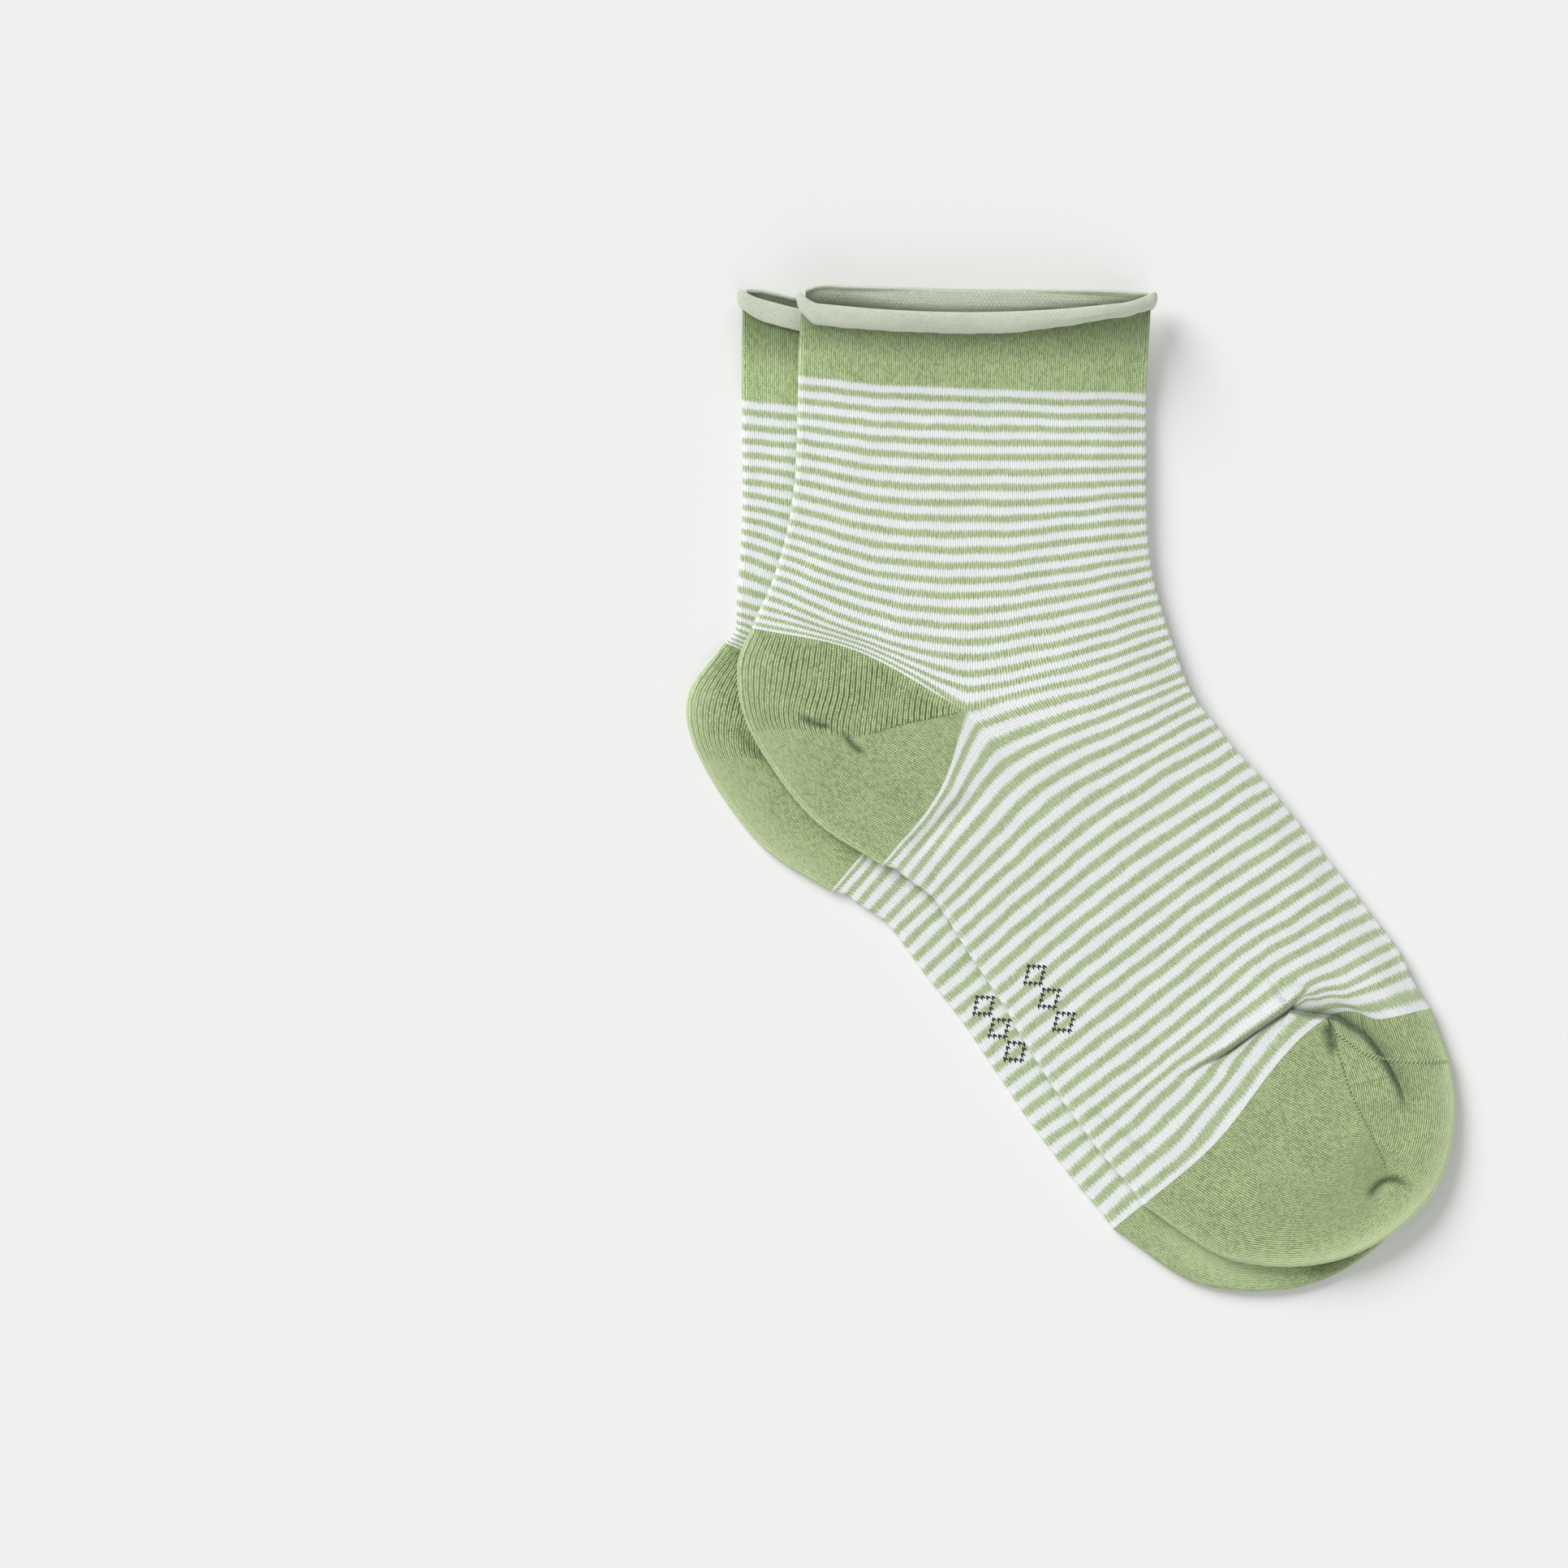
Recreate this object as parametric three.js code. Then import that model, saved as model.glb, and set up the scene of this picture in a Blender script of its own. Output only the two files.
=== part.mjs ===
// A pair of short striped knitted socks lying flat, one on the other, toes to the lower right.
// Millimetres, +Z up, the floor at z = 0. Each sock is a knitted tube pressed flat: a wall of cloth
// that crosses over the top, turns at the front fold, comes back underneath and turns at the back fold.
import * as THREE from 'three';
import { mergeVertices } from 'three/addons/utils/BufferGeometryUtils.js';

// Cloth and lie
const clothThickness = 1.0;
const seamGap = 0.3; // between knitted pieces, and between the two socks
const foldRadius = 1.3; // half the thickness of a pressed sock at its folded edges
const stripePitch = 3.24; // one green and one white stripe, so a course number of 1
const rimCourse = -5.7; // the mouth, counted in stripes above the first white stripe
const bandEndCourse = 0.2;
const heelCourse = 21.7;
const toeCourse = 47.7;

// The rolled edge: the cloth turns outwards over the mouth and lies on the band
const rollLength = 5.6;
const rollTurn = 2.0; // how far below the mouth the band ends and the roll begins
const rollThickness = 2.2;
const pressedRollThickness = 1.6; // where it has a sock's weight on it
const foldRollThickness = 1.2; // where it goes round a folded edge
const rollLift = 1.68; // what the pressed roll raises the cuff by

// Heights
const cuffFade = 8; // stripes over which the cuff comes down to the height of the leg
const mouthGapUpper = 1.9; // how far the upper sock's mouth stands open
const mouthGapUnder = 0.3;
const cuffStack = 3.9; // extra height of the under sock at its cuff, with its rolls
const puffHeight = 0.9; // crown of a layer between the folds
const pressedPuff = 0.3; // the same at the under sock's cuff
const drapeReach = 15; // how far the upper sock takes to come down beside the under sock

// Mesh
const acrossHalf = 7; // steps across half a layer
const foldSteps = [0.25, 0.5, 0.75]; // turns round a folded edge, from top to underside

// Where each course of the upper sock lies, from the back of the leg to its front
const legRows = [
  { course: -5.7, back: [-66.8, 119.8], backQuarter: [-45.6, 117.8], middle: [-24, 117.2], frontQuarter: [-2.4, 118], front: [19.8, 120.4] },
  { course: 0.2, back: [-67.4, 102], backQuarter: [-46, 100], middle: [-24.6, 99], frontQuarter: [-3.2, 98.4], front: [18.4, 98] },
  { course: 4, back: [-67.6, 89.4], backQuarter: [-46, 86.6], middle: [-24.6, 85.6], frontQuarter: [-3.2, 85.4], front: [18.4, 85.6] },
  { course: 8, back: [-68.2, 76.2], backQuarter: [-46.6, 71.8], middle: [-24.8, 70.8], frontQuarter: [-3.4, 71.4], front: [18.4, 73] },
  { course: 12, back: [-70.2, 63.4], backQuarter: [-48, 57], middle: [-25, 55.4], frontQuarter: [-3, 57.4], front: [19, 60.4] },
  { course: 16, back: [-73.4, 53], backQuarter: [-50.2, 43.4], middle: [-25.4, 40.2], frontQuarter: [-0.4, 44.4], front: [20.8, 49] },
  { course: 19, back: [-76.4, 45.4], backQuarter: [-51.4, 36.4], middle: [-25.6, 29], frontQuarter: [2.2, 34.4], front: [23.6, 40.4] },
  { course: 21.7, back: [-78.8, 39.8], backQuarter: [-52.6, 34], middle: [-26, 19.2], frontQuarter: [5.4, 25.6], front: [26, 33.4] },
];
// The same from the sole to the instep, from the heel to the toe
const footRows = [
  { course: 21.7, back: [-47, -18.6], backQuarter: [-32.8, -0.8], middle: [-26, 19.2], frontQuarter: [5.4, 25.6], front: [26, 33.4] },
  { course: 23, back: [-43.2, -19.6], backQuarter: [-29.6, -3.8], middle: [-19, 11.6], frontQuarter: [7.6, 21.4], front: [27.4, 29] },
  { course: 25, back: [-37.4, -23.6], backQuarter: [-24.8, -9.2], middle: [-11.6, 4.6], frontQuarter: [11.2, 15.6], front: [30, 23.6] },
  { course: 28, back: [-30.4, -32.2], backQuarter: [-16.2, -19.4], middle: [-0.4, -5.4], frontQuarter: [17.8, 6], front: [35.6, 16] },
  { course: 32, back: [-21.4, -46.2], backQuarter: [-5, -32.2], middle: [14.2, -17.4], frontQuarter: [30.2, -6.8], front: [46.4, 3.6] },
  { course: 36, back: [-12.8, -60.2], backQuarter: [5.8, -46], middle: [28, -28.8], frontQuarter: [42.6, -18.8], front: [57, -9.4] },
  { course: 40, back: [-3.8, -74.6], backQuarter: [16.2, -59.6], middle: [41.2, -39.8], frontQuarter: [54.6, -31.2], front: [67.8, -22.8] },
  { course: 43, back: [4, -85.4], backQuarter: [23.8, -70], middle: [50.8, -47.8], frontQuarter: [63.8, -40.4], front: [76.6, -34.2] },
  { course: 45, back: [10, -92.8], backQuarter: [28.2, -76.4], middle: [56, -52.2], frontQuarter: [68, -47.6], front: [81.4, -40.8] },
  { course: 46.3, back: [13.8, -97.4], backQuarter: [32, -80.8], middle: [57.6, -54.2], frontQuarter: [69.6, -51], front: [83.6, -46] },
  { course: 47.7, back: [17.4, -102.4], backQuarter: [38.4, -84.4], middle: [63.6, -56.6], frontQuarter: [76, -56.4], front: [88.4, -53.8] },
];
const stationShares = { back: 0, backQuarter: 0.25, middle: 0.5, frontQuarter: 0.75, front: 1 };

// Heel and toe pouches: wales nested one in another, share 0 along the outline and 1 at the point
const heelWales = [
  { share: 0, first: [-82.4, 29.6], bend: [-79, 14], last: [-64.4, -6.6] },
  { share: 0.25, first: [-68.4, 24.6], bend: [-64, 11.6], last: [-51.6, -2.4] },
  { share: 0.5, first: [-55.6, 22.6], bend: [-53.6, 13], last: [-44, 4.6] },
  { share: 0.75, first: [-40.4, 21], bend: [-40, 16.6], last: [-35, 11.6] },
  { share: 1, first: [-26.5, 18.9], bend: [-26.5, 18.9], last: [-26.5, 18.9] },
];
const toeWales = [
  { share: 0, first: [39.6, -115.8], bend: [67, -115.4], last: [90, -97.8], tip: [94.6, -79.6], seam: [93.2, -66.8] },
  { share: 0.25, first: [45, -104.8], bend: [68, -107.4], last: [84.4, -93.4], tip: [89.6, -79.4], seam: [88.4, -67.2] },
  { share: 0.5, first: [53, -93], bend: [69, -98], last: [79.2, -90.2], tip: [84.4, -78.4], seam: [82.4, -67.2] },
  { share: 0.75, first: [59, -74.4], bend: [68, -82.4], last: [74, -80.4], tip: [77.2, -72.4], seam: [75, -64.6] },
  { share: 1, first: [63.8, -57.3], bend: [63.9, -57.4], last: [64, -57.3], tip: [63.9, -57.1], seam: [63.8, -56.9] },
];

// How far each course of the under sock lies from the same course of the upper one, and how
// much further its back edge is pulled
const underShifts = [
  { course: -5.7, x: -14.4, y: -0.8, backPullX: 0, backPullY: 3 },
  { course: 0.2, x: -13.8, y: -5.8, backPullX: 0, backPullY: 0 },
  { course: 8, x: -13.2, y: -6, backPullX: 0.4, backPullY: 0 },
  { course: 12, x: -13, y: -6, backPullX: 1.6, backPullY: 0 },
  { course: 16, x: -12.8, y: -6.2, backPullX: 3.4, backPullY: -3 },
  { course: 19, x: -12.6, y: -6.4, backPullX: 5.8, backPullY: -0.6 },
  { course: 21.7, x: -12.4, y: -6.4, backPullX: 5.8, backPullY: 2.8 },
  { course: 28, x: -11, y: -5.8, backPullX: 0, backPullY: 0 },
  { course: 36, x: -8.8, y: -4.8, backPullX: 0, backPullY: 0 },
  { course: 47.7, x: -7.2, y: -5.8, backPullX: 0, backPullY: 0 },
];
const underHeelShift = [-12.2, -7];
const underToeShift = [-7.4, -6.2];

// Where each pouch closes, seen from the corner of the opening it fills
const heelCornerStep = [-0.8, -0.3];
const toeCornerStep = [0.3, -0.7];

// Folds of the upper layers: a line, the rise on its left side, how far that rise reaches, and the
// trough along the line
const upperFolds = [
  { name: 'toe overlap', line: [[24, -73], [36, -65.4], [48, -57.8], [54, -54], [60, -48.4]], rise: 1.1, reach: 9, trough: 0.6, width: 1.0 },
  { name: 'toe lobe', line: [[83.4, -81], [81.6, -75.6], [76, -65.4], [70, -58.4], [63, -55.4], [55, -54.2]], rise: 1.0, reach: 6, trough: 0.5, width: 1.0 },
  { name: 'heel valley', line: [[-43, -17.4], [-34, -10], [-26, -3], [-20, 4]], rise: 0, reach: 5, trough: 0.8, width: 2.8 },
  { name: 'ankle furrow', line: [[-73, 45], [-62, 39], [-50, 35], [-36, 28]], rise: 0, reach: 5, trough: 0.7, width: 2.4 },
  { name: 'heel pucker', line: [[-65, 17], [-61, 15.6], [-56, 14], [-53.4, 10.4]], rise: 0, reach: 3, trough: 1.1, width: 1.5 },
  { name: 'toe pucker', line: [[64.8, -66], [64.2, -61.4]], rise: 0, reach: 3, trough: 1.1, width: 1.6 },
  { name: 'tip pucker', line: [[73, -99.6], [76.4, -96.6], [79, -95.6]], rise: 0, reach: 3, trough: 1.2, width: 1.5 },
];
const underFolds = [
  { name: 'under heel crease', line: [[-84, 17], [-79, 11], [-74, 7], [-68, 0]], rise: 0, reach: 4, trough: 0.9, width: 2.0 },
  { name: 'under ankle fold', line: [[-83, 34.6], [-79, 31], [-72, 28]], rise: 0, reach: 3, trough: 0.8, width: 1.4 },
];

const greenYarn = { color: '#8fa86f', roughness: 0.95, metalness: 0 };
const paleGreenYarn = { color: '#bccbab', roughness: 1, metalness: 0 };
const stripedYarn = { color: '#cfd8c6', roughness: 0.95, metalness: 0 };

function smoothStep(x) {
  const t = Math.min(1, Math.max(0, x));
  return t * t * (3 - 2 * t);
}

// A smooth curve through values at rising knots, with three-point slopes
function curveValue(knots, values, at) {
  const last = knots.length - 1;
  let i = 0;
  while (i < last - 1 && at > knots[i + 1]) i += 1;
  const slope = (j) => {
    if (j === 0) return (values[1] - values[0]) / (knots[1] - knots[0]);
    if (j === last) return (values[last] - values[last - 1]) / (knots[last] - knots[last - 1]);
    const before = knots[j] - knots[j - 1];
    const after = knots[j + 1] - knots[j];
    const rateBefore = (values[j] - values[j - 1]) / before;
    const rateAfter = (values[j + 1] - values[j]) / after;
    return (rateBefore * after + rateAfter * before) / (before + after);
  };
  const span = knots[i + 1] - knots[i];
  const t = (at - knots[i]) / span;
  const t2 = t * t;
  const t3 = t2 * t;
  return (2 * t3 - 3 * t2 + 1) * values[i] + (t3 - 2 * t2 + t) * span * slope(i)
    + (3 * t2 - 2 * t3) * values[i + 1] + (t3 - t2) * span * slope(i + 1);
}

function curvePoint(knots, points, at) {
  return [0, 1].map((axis) => curveValue(knots, points.map((p) => p[axis]), at));
}

const away = (a, b) => Math.hypot(a[0] - b[0], a[1] - b[1]);
const moved = (p, by) => [p[0] + by[0], p[1] + by[1]];

function unit(from, to) {
  const length = away(from, to) || 1;
  return [(to[0] - from[0]) / length, (to[1] - from[1]) / length];
}

// Signed distance from a line of points, left of it positive, and the share of its length
function lineReach(line, p) {
  let best = { distance: Infinity, side: 1, share: 0 };
  line.slice(1).forEach((end, i) => {
    const start = line[i];
    const along = [end[0] - start[0], end[1] - start[1]];
    const square = along[0] ** 2 + along[1] ** 2;
    const t = Math.min(1, Math.max(0, ((p[0] - start[0]) * along[0] + (p[1] - start[1]) * along[1]) / square));
    const distance = away(p, [start[0] + along[0] * t, start[1] + along[1] * t]);
    if (distance < best.distance) {
      const side = along[0] * (p[1] - start[1]) - along[1] * (p[0] - start[0]) >= 0 ? 1 : -1;
      best = { distance, side, share: (i + t) / (line.length - 1) };
    }
  });
  return best;
}

// Relief of one fold at a point of the upper layer
function foldHeight(fold, p) {
  const near = lineReach(fold.line, p);
  const signed = near.distance * near.side;
  const endFade = smoothStep(near.share * 5) * smoothStep((1 - near.share) * 5);
  const rise = fold.rise * smoothStep(signed / fold.width + 0.5) * Math.exp(-Math.max(0, signed) / fold.reach);
  const trough = fold.trough * Math.exp(-((near.distance / fold.width) ** 2));
  const runOut = Math.exp(-((Math.max(0, near.distance - fold.reach) / fold.reach) ** 2));
  return endFade * (rise * runOut - trough);
}

// Everything that places one sock: its plan, its height off the floor and its relief
function makeSock(settings) {
  const stations = Object.keys(stationShares);
  const shares = Object.values(stationShares);
  const knotsOf = (rows) => rows.map((row) => row.course);
  const upperSide = new Set(['frontQuarter', 'front']);
  const wholeRows = [...settings.legRows, ...settings.footRows.slice(1)];

  // The place of a course and a share of the way across the upper layer, 0 at the back fold
  function plan(course, share, onFoot) {
    const own = onFoot ? settings.footRows : settings.legRows;
    const points = stations.map((station) => {
      const rows = upperSide.has(station) ? wholeRows : own;
      return curvePoint(knotsOf(rows), rows.map((row) => row[station]), course);
    });
    return curvePoint(shares, points, share);
  }

  // The place on a wale of the heel pouch, from the leg side to the foot side
  function heelPlan(share, along) {
    const wales = settings.heelWales;
    const knots = wales.map((wale) => wale.share);
    const inner = ['first', 'bend', 'last'].map((name) => curvePoint(knots, wales.map((wale) => wale[name]), share));
    const points = [plan(heelCourse, share / 2, false), ...inner, plan(heelCourse, share / 2, true)];
    return curvePoint([0, 0.25, 0.5, 0.75, 1], points, along);
  }

  // The place on a wale of the toe pouch, from the sole to the toe seam, and past 1 on the instep
  function toePlan(share, along) {
    const wales = settings.toeWales;
    const knots = wales.map((wale) => wale.share);
    const at = (name) => curvePoint(knots, wales.map((wale) => wale[name]), share);
    if (along > 1) {
      const seam = at('seam');
      const end = plan(toeCourse, 1 - share / 2, true);
      const t = along - 1;
      return [seam[0] + (end[0] - seam[0]) * t, seam[1] + (end[1] - seam[1]) * t];
    }
    const names = ['first', 'bend', 'last', 'tip', 'seam'];
    const points = [plan(toeCourse, share / 2, true), ...names.map(at)];
    return curvePoint([0, 0.22, 0.45, 0.7, 0.87, 1], points, along);
  }

  const cuffShare = (course) => 1 - smoothStep((course - rimCourse) / cuffFade);
  const mouthShare = (course) => 1 - smoothStep((course - rimCourse) / (bandEndCourse - rimCourse));
  const relief = (p, edgeShare, course) => {
    const edgeFade = smoothStep(edgeShare / 0.12);
    const height = puffHeight + (settings.cuffPuff - puffHeight) * cuffShare(course);
    const crown = height * Math.sqrt(Math.min(1, Math.max(0, edgeShare / 0.3)));
    const folds = settings.folds.reduce((sum, fold) => sum + foldHeight(fold, p), 0);
    return edgeFade * Math.max(-0.3, crown + folds);
  };
  return { plan, heelPlan, toePlan, cuffShare, mouthShare, relief, ...settings };
}

// One ring of stations round a flattened layer pair, as outer and inner points. The centres run
// from the outline inwards; a closed ring has a fold at both ends, a pouch only at the first.
function ringPoints(sock, centreAt, ring) {
  const outer = [];
  const inner = [];
  const push = (p, zOuter, zInner) => {
    outer.push(new THREE.Vector3(p[0], p[1], zOuter));
    inner.push(new THREE.Vector3(p[0], p[1], zInner));
  };
  const layerPoint = (share, upper) => {
    const p = centreAt(share, upper);
    const floor = sock.base(p, ring.course);
    if (!upper) {
      push(p, floor, floor + clothThickness);
      return;
    }
    const edgeShare = ring.closed ? Math.min(share, 1 - share) : share / 2;
    const mouth = sock.mouthGap * sock.mouthShare(ring.course) * Math.sin(Math.PI * Math.min(1, edgeShare * 2));
    const top = floor + 2 * foldRadius + sock.relief(p, edgeShare - ring.inset, ring.course) + mouth;
    push(p, top, top - clothThickness);
  };
  const fold = (share, outlineShare, turns) => {
    const centre = centreAt(share, true);
    const out = unit(centre, centreAt(outlineShare, true));
    const middle = sock.base(centre, ring.course) + foldRadius;
    turns.forEach((turn) => {
      const reach = Math.sin(turn * Math.PI);
      const lift = Math.cos(turn * Math.PI);
      [[outer, foldRadius], [inner, foldRadius - clothThickness]].forEach(([list, radius]) => {
        list.push(new THREE.Vector3(
          centre[0] + out[0] * reach * radius,
          centre[1] + out[1] * reach * radius,
          middle + lift * radius,
        ));
      });
    });
  };
  const turnsUp = [...foldSteps].reverse();
  if (ring.closed) {
    ring.shares.forEach((share) => layerPoint(share, true));
    fold(ring.shares.at(-1), 1, foldSteps);
    [...ring.shares].reverse().forEach((share) => layerPoint(share, false));
    fold(ring.shares[0], 0, turnsUp);
  } else {
    [...ring.shares].reverse().forEach((share) => layerPoint(share, true));
    fold(ring.shares[0], 0, foldSteps);
    ring.shares.forEach((share) => layerPoint(share, false));
  }
  return { outer, inner };
}

// How much of the way across a fold takes up, from the spacing beside it
function insetOf(edge, beside, share) {
  return (foldRadius * share) / Math.max(1, away(edge, beside));
}

function tubeRing(sock, course, onFoot) {
  const at = (share) => sock.plan(course, share, onFoot);
  const backInset = insetOf(at(0), at(0.125), 0.125);
  const frontInset = insetOf(at(1), at(0.875), 0.125);
  const shares = [];
  for (let i = 0; i <= acrossHalf; i += 1) shares.push(backInset + (0.5 - backInset) * (i / acrossHalf));
  for (let i = 1; i <= acrossHalf; i += 1) shares.push(0.5 + (0.5 - frontInset) * (i / acrossHalf));
  const lead = sock.rimLead * sock.mouthShare(course);
  const centreAt = (share, upper) => {
    const p = at(share);
    return upper ? p : [p[0], p[1] + lead * Math.sin(Math.PI * share)];
  };
  return ringPoints(sock, centreAt, { course, shares, closed: true, inset: Math.min(backInset, frontInset) });
}

function fanRing(sock, planAt, along, course, cornerStep) {
  const inset = insetOf(planAt(0, along(0)), planAt(0.25, along(0)), 0.25);
  const shares = [];
  for (let i = 0; i <= acrossHalf; i += 1) shares.push(inset + (1 - inset) * (i / acrossHalf));
  const corner = moved(sock.plan(course, 0.5, true), cornerStep);
  const centreAt = (share) => (share > 0.999 ? corner : planAt(share, along(share)));
  return ringPoints(sock, centreAt, { course, shares, closed: false, inset: inset / 2 });
}

// A closed wall: quads gathered as loose triangles, then joined where their corners meet
class Wall {
  constructor() {
    this.positions = [];
  }

  triangle(a, b, c) {
    if (a.distanceTo(b) < 1e-4 || b.distanceTo(c) < 1e-4 || c.distanceTo(a) < 1e-4) return;
    [a, b, c].forEach((p) => this.positions.push(p.x, p.y, p.z));
  }

  quad(a, b, c, d) {
    this.triangle(a, b, c);
    this.triangle(a, c, d);
  }

  // Quads between neighbouring rows; a closed row joins its last point to its first
  sheet(rows, closed, flipped) {
    for (let r = 0; r + 1 < rows.length; r += 1) {
      const count = rows[r].length;
      for (let i = 0; i < (closed ? count : count - 1); i += 1) {
        const j = (i + 1) % count;
        const corners = [rows[r][i], rows[r + 1][i], rows[r + 1][j], rows[r][j]];
        if (flipped) corners.reverse();
        this.quad(...corners);
      }
    }
  }

  rings(rings, closed) {
    this.sheet(rings.map((ring) => ring.outer), closed, false);
    this.sheet(rings.map((ring) => ring.inner), closed, true);
  }

  geometry() {
    const loose = new THREE.BufferGeometry();
    loose.setAttribute('position', new THREE.Float32BufferAttribute(this.positions, 3));
    const joined = mergeVertices(loose, 1e-4);
    const index = joined.index.array;
    const p = joined.attributes.position;
    let volume = 0;
    const corner = (i) => new THREE.Vector3(p.getX(i), p.getY(i), p.getZ(i));
    for (let i = 0; i < index.length; i += 3) {
      volume += corner(index[i]).dot(corner(index[i + 1]).cross(corner(index[i + 2])));
    }
    if (volume < 0) {
      for (let i = 0; i < index.length; i += 3) [index[i + 1], index[i + 2]] = [index[i + 2], index[i + 1]];
    }
    joined.computeVertexNormals();
    return joined;
  }
}

function rimRow(ring, indices) {
  return [indices.map((i) => ring.outer[i]), indices.map((i) => ring.inner[i])];
}

const allOf = (ring) => ring.outer.map((_, i) => i);
const spread = (from, to, count) => Array.from({ length: count + 1 }, (_, i) => from + ((to - from) * i) / count);

// A band of cloth all round the leg, open at both ends
function tubePiece(sock, courses) {
  const rings = courses.map((course) => tubeRing(sock, course, false));
  const wall = new Wall();
  wall.rings(rings, true);
  wall.sheet(rimRow(rings[0], allOf(rings[0])), true, true);
  wall.sheet(rimRow(rings.at(-1), allOf(rings.at(-1))), true, false);
  return wall.geometry();
}

// Leg and foot in one piece, joined along the instep, with the heel's opening between them
function legAndFootPiece(sock) {
  const legCourses = [...spread(bandEndCourse, 18, 8), 20, heelCourse];
  const footCourses = [heelCourse, 22.3, 23, 24, 25.5, ...spread(28, 40, 5), 42, 43.5, 44.6, 45.4, 46.3, toeCourse];
  const leg = legCourses.map((course) => tubeRing(sock, course, false));
  const foot = footCourses.map((course) => tubeRing(sock, course, true));
  const layer = 2 * acrossHalf + 1;
  const count = leg[0].outer.length;
  const underMiddle = layer + foldSteps.length + acrossHalf;
  for (let i = acrossHalf; i <= underMiddle; i += 1) {
    foot[0].outer[i] = leg.at(-1).outer[i];
    foot[0].inner[i] = leg.at(-1).inner[i];
  }
  const wall = new Wall();
  wall.rings(leg, true);
  wall.rings(foot, true);
  const heelSide = [];
  for (let i = underMiddle; i <= count + acrossHalf; i += 1) heelSide.push(i % count);
  wall.sheet(rimRow(leg[0], allOf(leg[0])), true, true);
  wall.sheet(rimRow(leg.at(-1), heelSide), false, false);
  wall.sheet(rimRow(foot[0], heelSide), false, true);
  wall.sheet(rimRow(foot.at(-1), allOf(foot[0])), true, false);
  return wall.geometry();
}

// A pouch knitted back and forth, with a free edge all round that meets its neighbours
function pouchPiece(sock, planAt, steps, course, cornerStep) {
  const end = steps.at(-1);
  const trimAt = (share, along, inwards) => {
    const stride = 0.02;
    const rate = away(planAt(share, along), planAt(share, along + inwards * stride)) / stride;
    return Math.min(0.2, seamGap / rate);
  };
  const rings = steps.map((step) => fanRing(sock, planAt, (share) => {
    const start = trimAt(share, 0, 1);
    const finish = end - trimAt(share, end, -1);
    return start + (finish - start) * (step / end);
  }, course, cornerStep));
  const wall = new Wall();
  wall.rings(rings, false);
  wall.sheet(rimRow(rings[0], allOf(rings[0])), false, true);
  wall.sheet(rimRow(rings.at(-1), allOf(rings[0])), false, false);
  const last = rings[0].outer.length - 1;
  wall.sheet([rings.map((ring) => ring.outer[0]), rings.map((ring) => ring.inner[0])], false, false);
  wall.sheet([rings.map((ring) => ring.outer[last]), rings.map((ring) => ring.inner[last])], false, true);
  return wall.geometry();
}

// Section of the rolled edge: how far above the mouth, and how far out from the band's outer face
const rollSection = [
  [-0.36, -1], [-0.16, -1], [-0.05, -0.75], [0, -0.2], [0, 0.28], [-0.06, 0.62], [-0.2, 0.88],
  [-0.42, 1], [-0.66, 0.96], [-0.86, 0.8], [-0.98, 0.56], [-0.97, 0.34], [-0.86, 0.26], [-0.36, 0.26],
];

// The edge of the mouth, rolled outwards all round
function rollPiece(sock) {
  const mouth = tubeRing(sock, rimCourse, false);
  const below = tubeRing(sock, rimCourse + rollLength / stripePitch, false);
  const layer = 2 * acrossHalf + 1;
  const rows = mouth.outer.map((rim, i) => {
    const onUpper = i < layer;
    const onLower = i >= layer + foldSteps.length && i < 2 * layer + foldSteps.length;
    const out = rim.clone().sub(mouth.inner[i]).normalize();
    const up = rim.clone().sub(below.outer[i]).normalize();
    const layerThickness = onUpper ? sock.topRoll : pressedRollThickness;
    const thickness = onUpper || onLower ? layerThickness : foldRollThickness;
    const frontShort = onUpper ? 1 - 0.35 * smoothStep((i / layer - 0.55) * 2.4) : 0.8;
    return rollSection.map(([above, outwards]) => {
      const distance = outwards < 0 ? outwards * clothThickness : outwards * thickness;
      const turned = above * rollLength > -rollTurn * 1.1 ? above * rollLength : above * rollLength * frontShort;
      return rim.clone().addScaledVector(up, turned).addScaledVector(out, distance);
    });
  });
  const wall = new Wall();
  const closedRows = rows.map((row) => [...row, row[0]]);
  wall.sheet([...closedRows, closedRows[0]], false, false);
  return wall.geometry();
}

function shiftedRows(rows) {
  const knots = underShifts.map((row) => row.course);
  const value = (name, course) => curveValue(knots, underShifts.map((row) => row[name]), course);
  return rows.map((row) => {
    const by = [value('x', row.course), value('y', row.course)];
    const onLeg = rows === legRows;
    const pull = onLeg ? [value('backPullX', row.course), value('backPullY', row.course)] : [0, 0];
    const places = Object.keys(stationShares).map((station) => [station, moved(row[station], by)]);
    const shifted = Object.fromEntries(places);
    return { ...shifted, course: row.course, back: moved(shifted.back, pull) };
  });
}

function shiftedWales(wales, by) {
  return wales.map((wale) => Object.fromEntries(Object.entries(wale).map(
    ([name, value]) => [name, name === 'share' ? value : moved(value, by)],
  )));
}

const underLegRows = shiftedRows(legRows);
const underFootRows = shiftedRows(footRows);

const underSock = makeSock({
  legRows: underLegRows,
  footRows: underFootRows,
  heelWales: shiftedWales(heelWales, underHeelShift),
  toeWales: shiftedWales(toeWales, underToeShift),
  folds: underFolds,
  mouthGap: mouthGapUnder,
  cuffPuff: pressedPuff,
  topRoll: pressedRollThickness,
  rimLead: 3,
  base: (p, course) => rollLift * underSock.cuffShare(course),
});

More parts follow.
